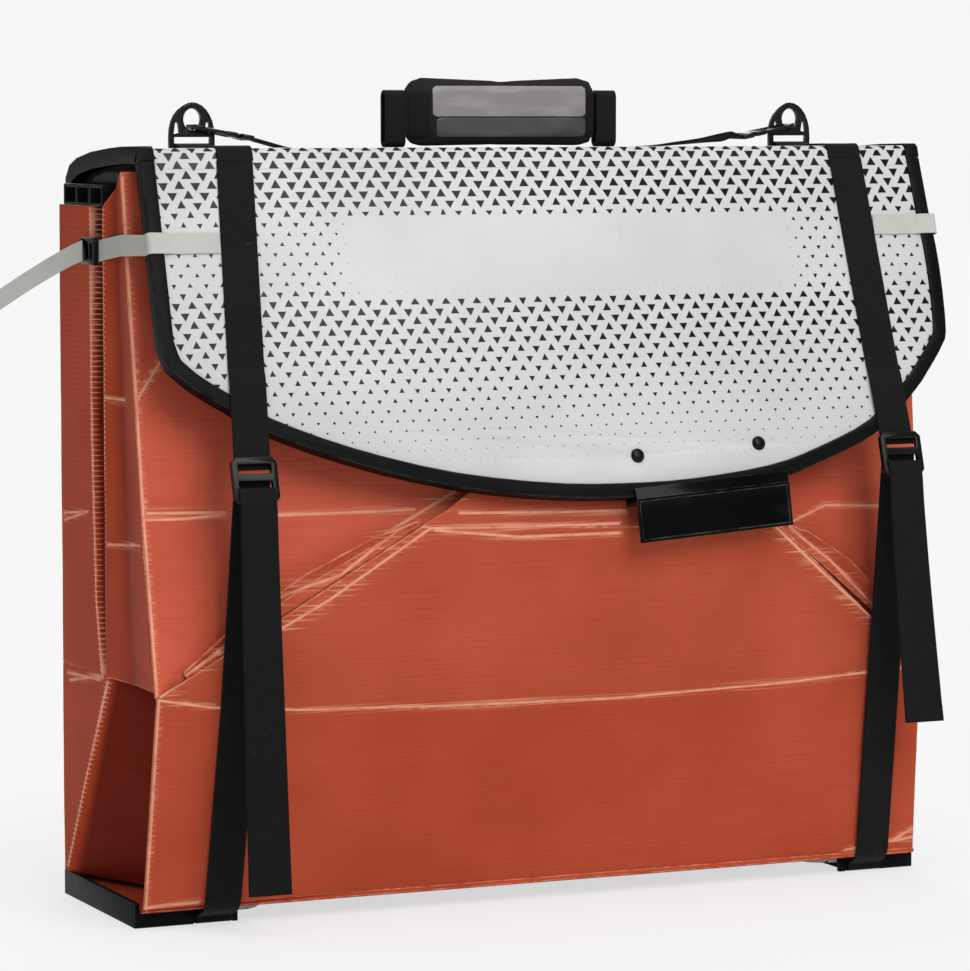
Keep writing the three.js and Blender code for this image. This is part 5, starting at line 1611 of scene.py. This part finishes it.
@dataclass
class ShoulderPad(SubAssembly):
    """The padded grip: a stuffed body, coated patches, bands and the folded loops at its ends."""

    voxel: float = 4.0
    shrink: float = 1.2
    half_depth: float = 0.0085
    middle_y: float = 0.0625
    cap: float = 4.0
    pressure: float = 4.0
    frames: int = 20
    sideways: float = 0.25
    slack: Place = (0.3, 1.5, 0.3)
    corner: float = 4.0
    patch_lift: float = 0.15
    cast_from: float = 0.1
    missed_depth: float = 0.008
    patches: tuple[tuple[str, FilmFinish, tuple[float, float, float, float]], ...] = (
        ("upper", UPPER_FILM, (-70.0, 97.0, 762.0, 792.0)),
        ("lower", LOWER_FILM, (-66.0, 97.0, 742.0, 760.8)),
    )
    bands: tuple[tuple[str, tuple[float, float, float, float]], ...] = (
        ("left", (-93.0, -73.0, 741.0, 786.0)),
        ("right", (99.0, 108.0, 741.0, 786.0)),
    )

    def inflate(self, piece: bpy.types.Object) -> None:
        """Swells the body by a cloth simulation, each point by no more than the cap.

        Args:
            piece: the body.
        """
        rest = [vertex.co.copy() for vertex in piece.data.vertices]
        cloth = piece.modifiers.new("cloth", "CLOTH")
        cloth.settings.quality = 5
        cloth.settings.use_pressure = True
        cloth.settings.uniform_pressure_force = self.pressure
        cloth.settings.effector_weights.gravity = 0.0
        cloth.point_cache.frame_start = 1
        cloth.point_cache.frame_end = self.frames
        scene = bpy.context.scene
        for step in range(1, self.frames + 1):
            scene.frame_set(step)
        shape = piece.evaluated_get(bpy.context.evaluated_depsgraph_get()).to_mesh()
        limit = self.cap * MM
        for vertex, moved, start in zip(piece.data.vertices, shape.vertices, rest):
            shift = moved.co - start
            shift.x *= self.sideways
            shift.z *= self.sideways
            vertex.co = start + (shift if shift.length < limit else shift.normalized() * limit)
        piece.modifiers.remove(cloth)
        scene.frame_set(1)

    def body(self) -> bpy.types.Object:
        """The stuffed body, swollen by pressure and kept to the space that its solid holds.

        Returns:
            The body.
        """
        piece = copy_node("pad", "pad_cushion")
        middle = (Vector(piece.bound_box[0]) + Vector(piece.bound_box[6])) / 2
        for vertex in piece.data.vertices:
            vertex.co.y = middle.y + (vertex.co.y - middle.y) * (1 - self.shrink * MM / self.half_depth)
        apply_modifier(piece, "REMESH", mode="VOXEL", voxel_size=self.voxel * MM)
        self.inflate(piece)
        low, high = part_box("pad")
        for vertex in piece.data.vertices:
            for axis, slack in enumerate(self.slack):
                least = low[axis] - (0 if axis == 2 else slack * MM)
                vertex.co[axis] = min(max(vertex.co[axis], least), high[axis] + slack * MM)
        apply_modifier(piece, "SUBSURF", levels=1, render_levels=1)
        smooth(piece, 60.0)
        return piece

    def laid(
        self,
        body: bpy.types.Object,
        name: str,
        reach: tuple[float, float, float, float],
        wall: float,
        side: float,
    ) -> bpy.types.Object:
        """A thin patch that follows the body's face.

        Args:
            body: the stuffed body.
            name: the patch's name.
            reach: its left, right, low and high edges in millimetres.
            wall: its thickness in millimetres.
            side: -1 on the front, 1 on the back.

        Returns:
            The patch.
        """
        left, right, low, high = (v * MM for v in reach)
        bpy.ops.mesh.primitive_grid_add(x_subdivisions=36, y_subdivisions=14, size=1.0)
        piece = bpy.context.active_object
        piece.name = name
        corner = self.corner * MM
        half_x, half_z = (right - left) / 2, (high - low) / 2
        for vertex in piece.data.vertices:
            u, v = 2 * vertex.co.x, 2 * vertex.co.y
            past = max(abs(v) * half_z - (half_z - corner), 0.0) / corner
            pull = corner * (1 - math.sqrt(max(0.0, 1 - past * past)))
            x = (left + right) / 2 + u * (half_x - pull)
            z = (low + high) / 2 + v * half_z
            outside = Vector((x, self.middle_y + side * self.cast_from, z))
            hit, point, _, _ = body.ray_cast(outside, Vector((0, -side, 0)))
            y = point.y if hit else self.middle_y + side * self.missed_depth
            vertex.co = Vector((x, y + side * self.patch_lift * MM, z))
        thicken(piece, wall, 0.2)
        return piece

    def build(self) -> None:
        """Makes the body, its patches and bands, and the loops."""
        body = self.body()
        self.keep(body, PAD_CLOTH, "shoulder_pad", "pad_cloth", "pad")
        faces = ((-1.0, "front"), (1.0, "back"))
        for word, finish, reach in self.patches:
            for side, view in faces:
                patch = self.laid(body, f"pad_{word}_patch_{view}", reach, 0.9, side)
                self.keep(patch, finish, "shoulder_pad", "pad_cloth")
        for word, reach in self.bands:
            for side, view in faces:
                band = self.laid(body, f"pad_{word}_band_{view}", reach, 1.6, side)
                self.keep(band, LOOP_WEBBING, "shoulder_pad", "webbing")
        for word in SIDES:
            self.from_node(f"pad_loop_{word}", LOOP_WEBBING, "pad_carrier", "webbing", 2.2, 4, 40.0)


@dataclass
class Studio:
    """The pale floor, the soft lamps and the camera."""

    camera_place: Place = (-1.76511, -3.87150, 0.76940)
    camera_turn: Place = (90 - 4.957, 0.0, -24.05)
    lens: float = 160.94
    target: Place = (0.0, 0.0, 0.35)
    floor_size: float = 30.0
    floor_drop: float = 0.3
    lamps: tuple[tuple[str, Place, float, float], ...] = (
        ("key", (0.4, -3.6, 2.9), 2.3, 110.0),
        ("fill", (-3.4, -1.6, 1.7), 2.2, 5.0),
        ("top", (-0.3, -0.9, 3.3), 2.2, 34.0),
        ("rear", (0.7, 3.8, 2.6), 2.4, 95.0),
    )

    def floor(self) -> None:
        """Adds the floor, which keeps the object's shadow and turns plain white away from it."""
        bpy.ops.mesh.primitive_plane_add(size=self.floor_size, location=(0, 0, 0))
        floor = bpy.context.active_object
        floor.name = "floor"
        floor.data.transform(Matrix.Translation((0, 0, -self.floor_drop * MM)))
        made = bpy.data.materials.new("floor")
        made.use_nodes = True
        made.node_tree.nodes.clear()
        graph = Graph(made.node_tree)
        pale = graph.blend(graph.noise(graph.place(), 1.5), (0.86, 0.86, 0.865, 1), (0.88, 0.88, 0.885, 1))
        diffuse = graph.node("ShaderNodeBsdfDiffuse", {"Color": pale})
        plain = graph.node("ShaderNodeEmission", {"Color": (0.93, 0.93, 0.93, 1)})
        away = graph.vector("LENGTH", graph.place())
        seen = graph.node("ShaderNodeLightPath").outputs
        eye = graph.most(seen["Is Camera Ray"], seen["Is Glossy Ray"])
        part = graph.times(graph.span(away, 0.3, 1.0, 0.7, 1.0), eye)
        mixed = graph.node("ShaderNodeMixShader", (part, diffuse.outputs[0], plain.outputs[0]))
        graph.node("ShaderNodeOutputMaterial", {"Surface": mixed.outputs[0]})
        floor.data.materials.append(made)

    def world(self) -> None:
        """Sets an even pale surround, plain white where the camera sees it."""
        world = bpy.data.worlds.new("studio")
        bpy.context.scene.world = world
        world.use_nodes = True
        world.node_tree.nodes.clear()
        graph = Graph(world.node_tree)
        soft = graph.node("ShaderNodeBackground", {"Color": (0.97, 0.985, 1.0, 1), "Strength": 0.36})
        plain = graph.node("ShaderNodeBackground", {"Color": (0.925, 0.925, 0.93, 1), "Strength": 1.0})
        seen = graph.node("ShaderNodeLightPath").outputs["Is Camera Ray"]
        mixed = graph.node("ShaderNodeMixShader", (seen, soft.outputs[0], plain.outputs[0]))
        graph.node("ShaderNodeOutputWorld", {"Surface": mixed.outputs[0]})

    def build(self) -> None:
        """Sets the whole studio."""
        self.floor()
        self.world()
        for name, place, size, power in self.lamps:
            bpy.ops.object.light_add(type="AREA", location=place)
            lamp = bpy.context.active_object
            lamp.name = name
            lamp.data.size = size
            lamp.data.energy = power
            lamp.rotation_euler = (Vector(self.target) - Vector(place)).to_track_quat("-Z", "Y").to_euler()
        turn = tuple(math.radians(angle) for angle in self.camera_turn)
        bpy.ops.object.camera_add(location=self.camera_place, rotation=turn)
        camera = bpy.context.active_object
        camera.data.lens = self.lens
        camera.data.sensor_width = 36.0
        camera.data.clip_end = 60.0
        bpy.context.scene.camera = camera
        bpy.context.scene.view_settings.view_transform = "Standard"


def main() -> None:
    """Builds the sub-assemblies in order and notes their pieces and size."""
    for other in bpy.context.selected_objects:
        other.select_set(False)
    made = [Hull(), Cover(), Stowage(), Closure(), Straps(), Hardware(), ShoulderPad()]
    for assembly in made:
        assembly.build()
        log.info("%s: %d pieces", type(assembly).__name__, len(assembly.pieces))
    Studio().build()


if __name__ == "__main__":
    main()
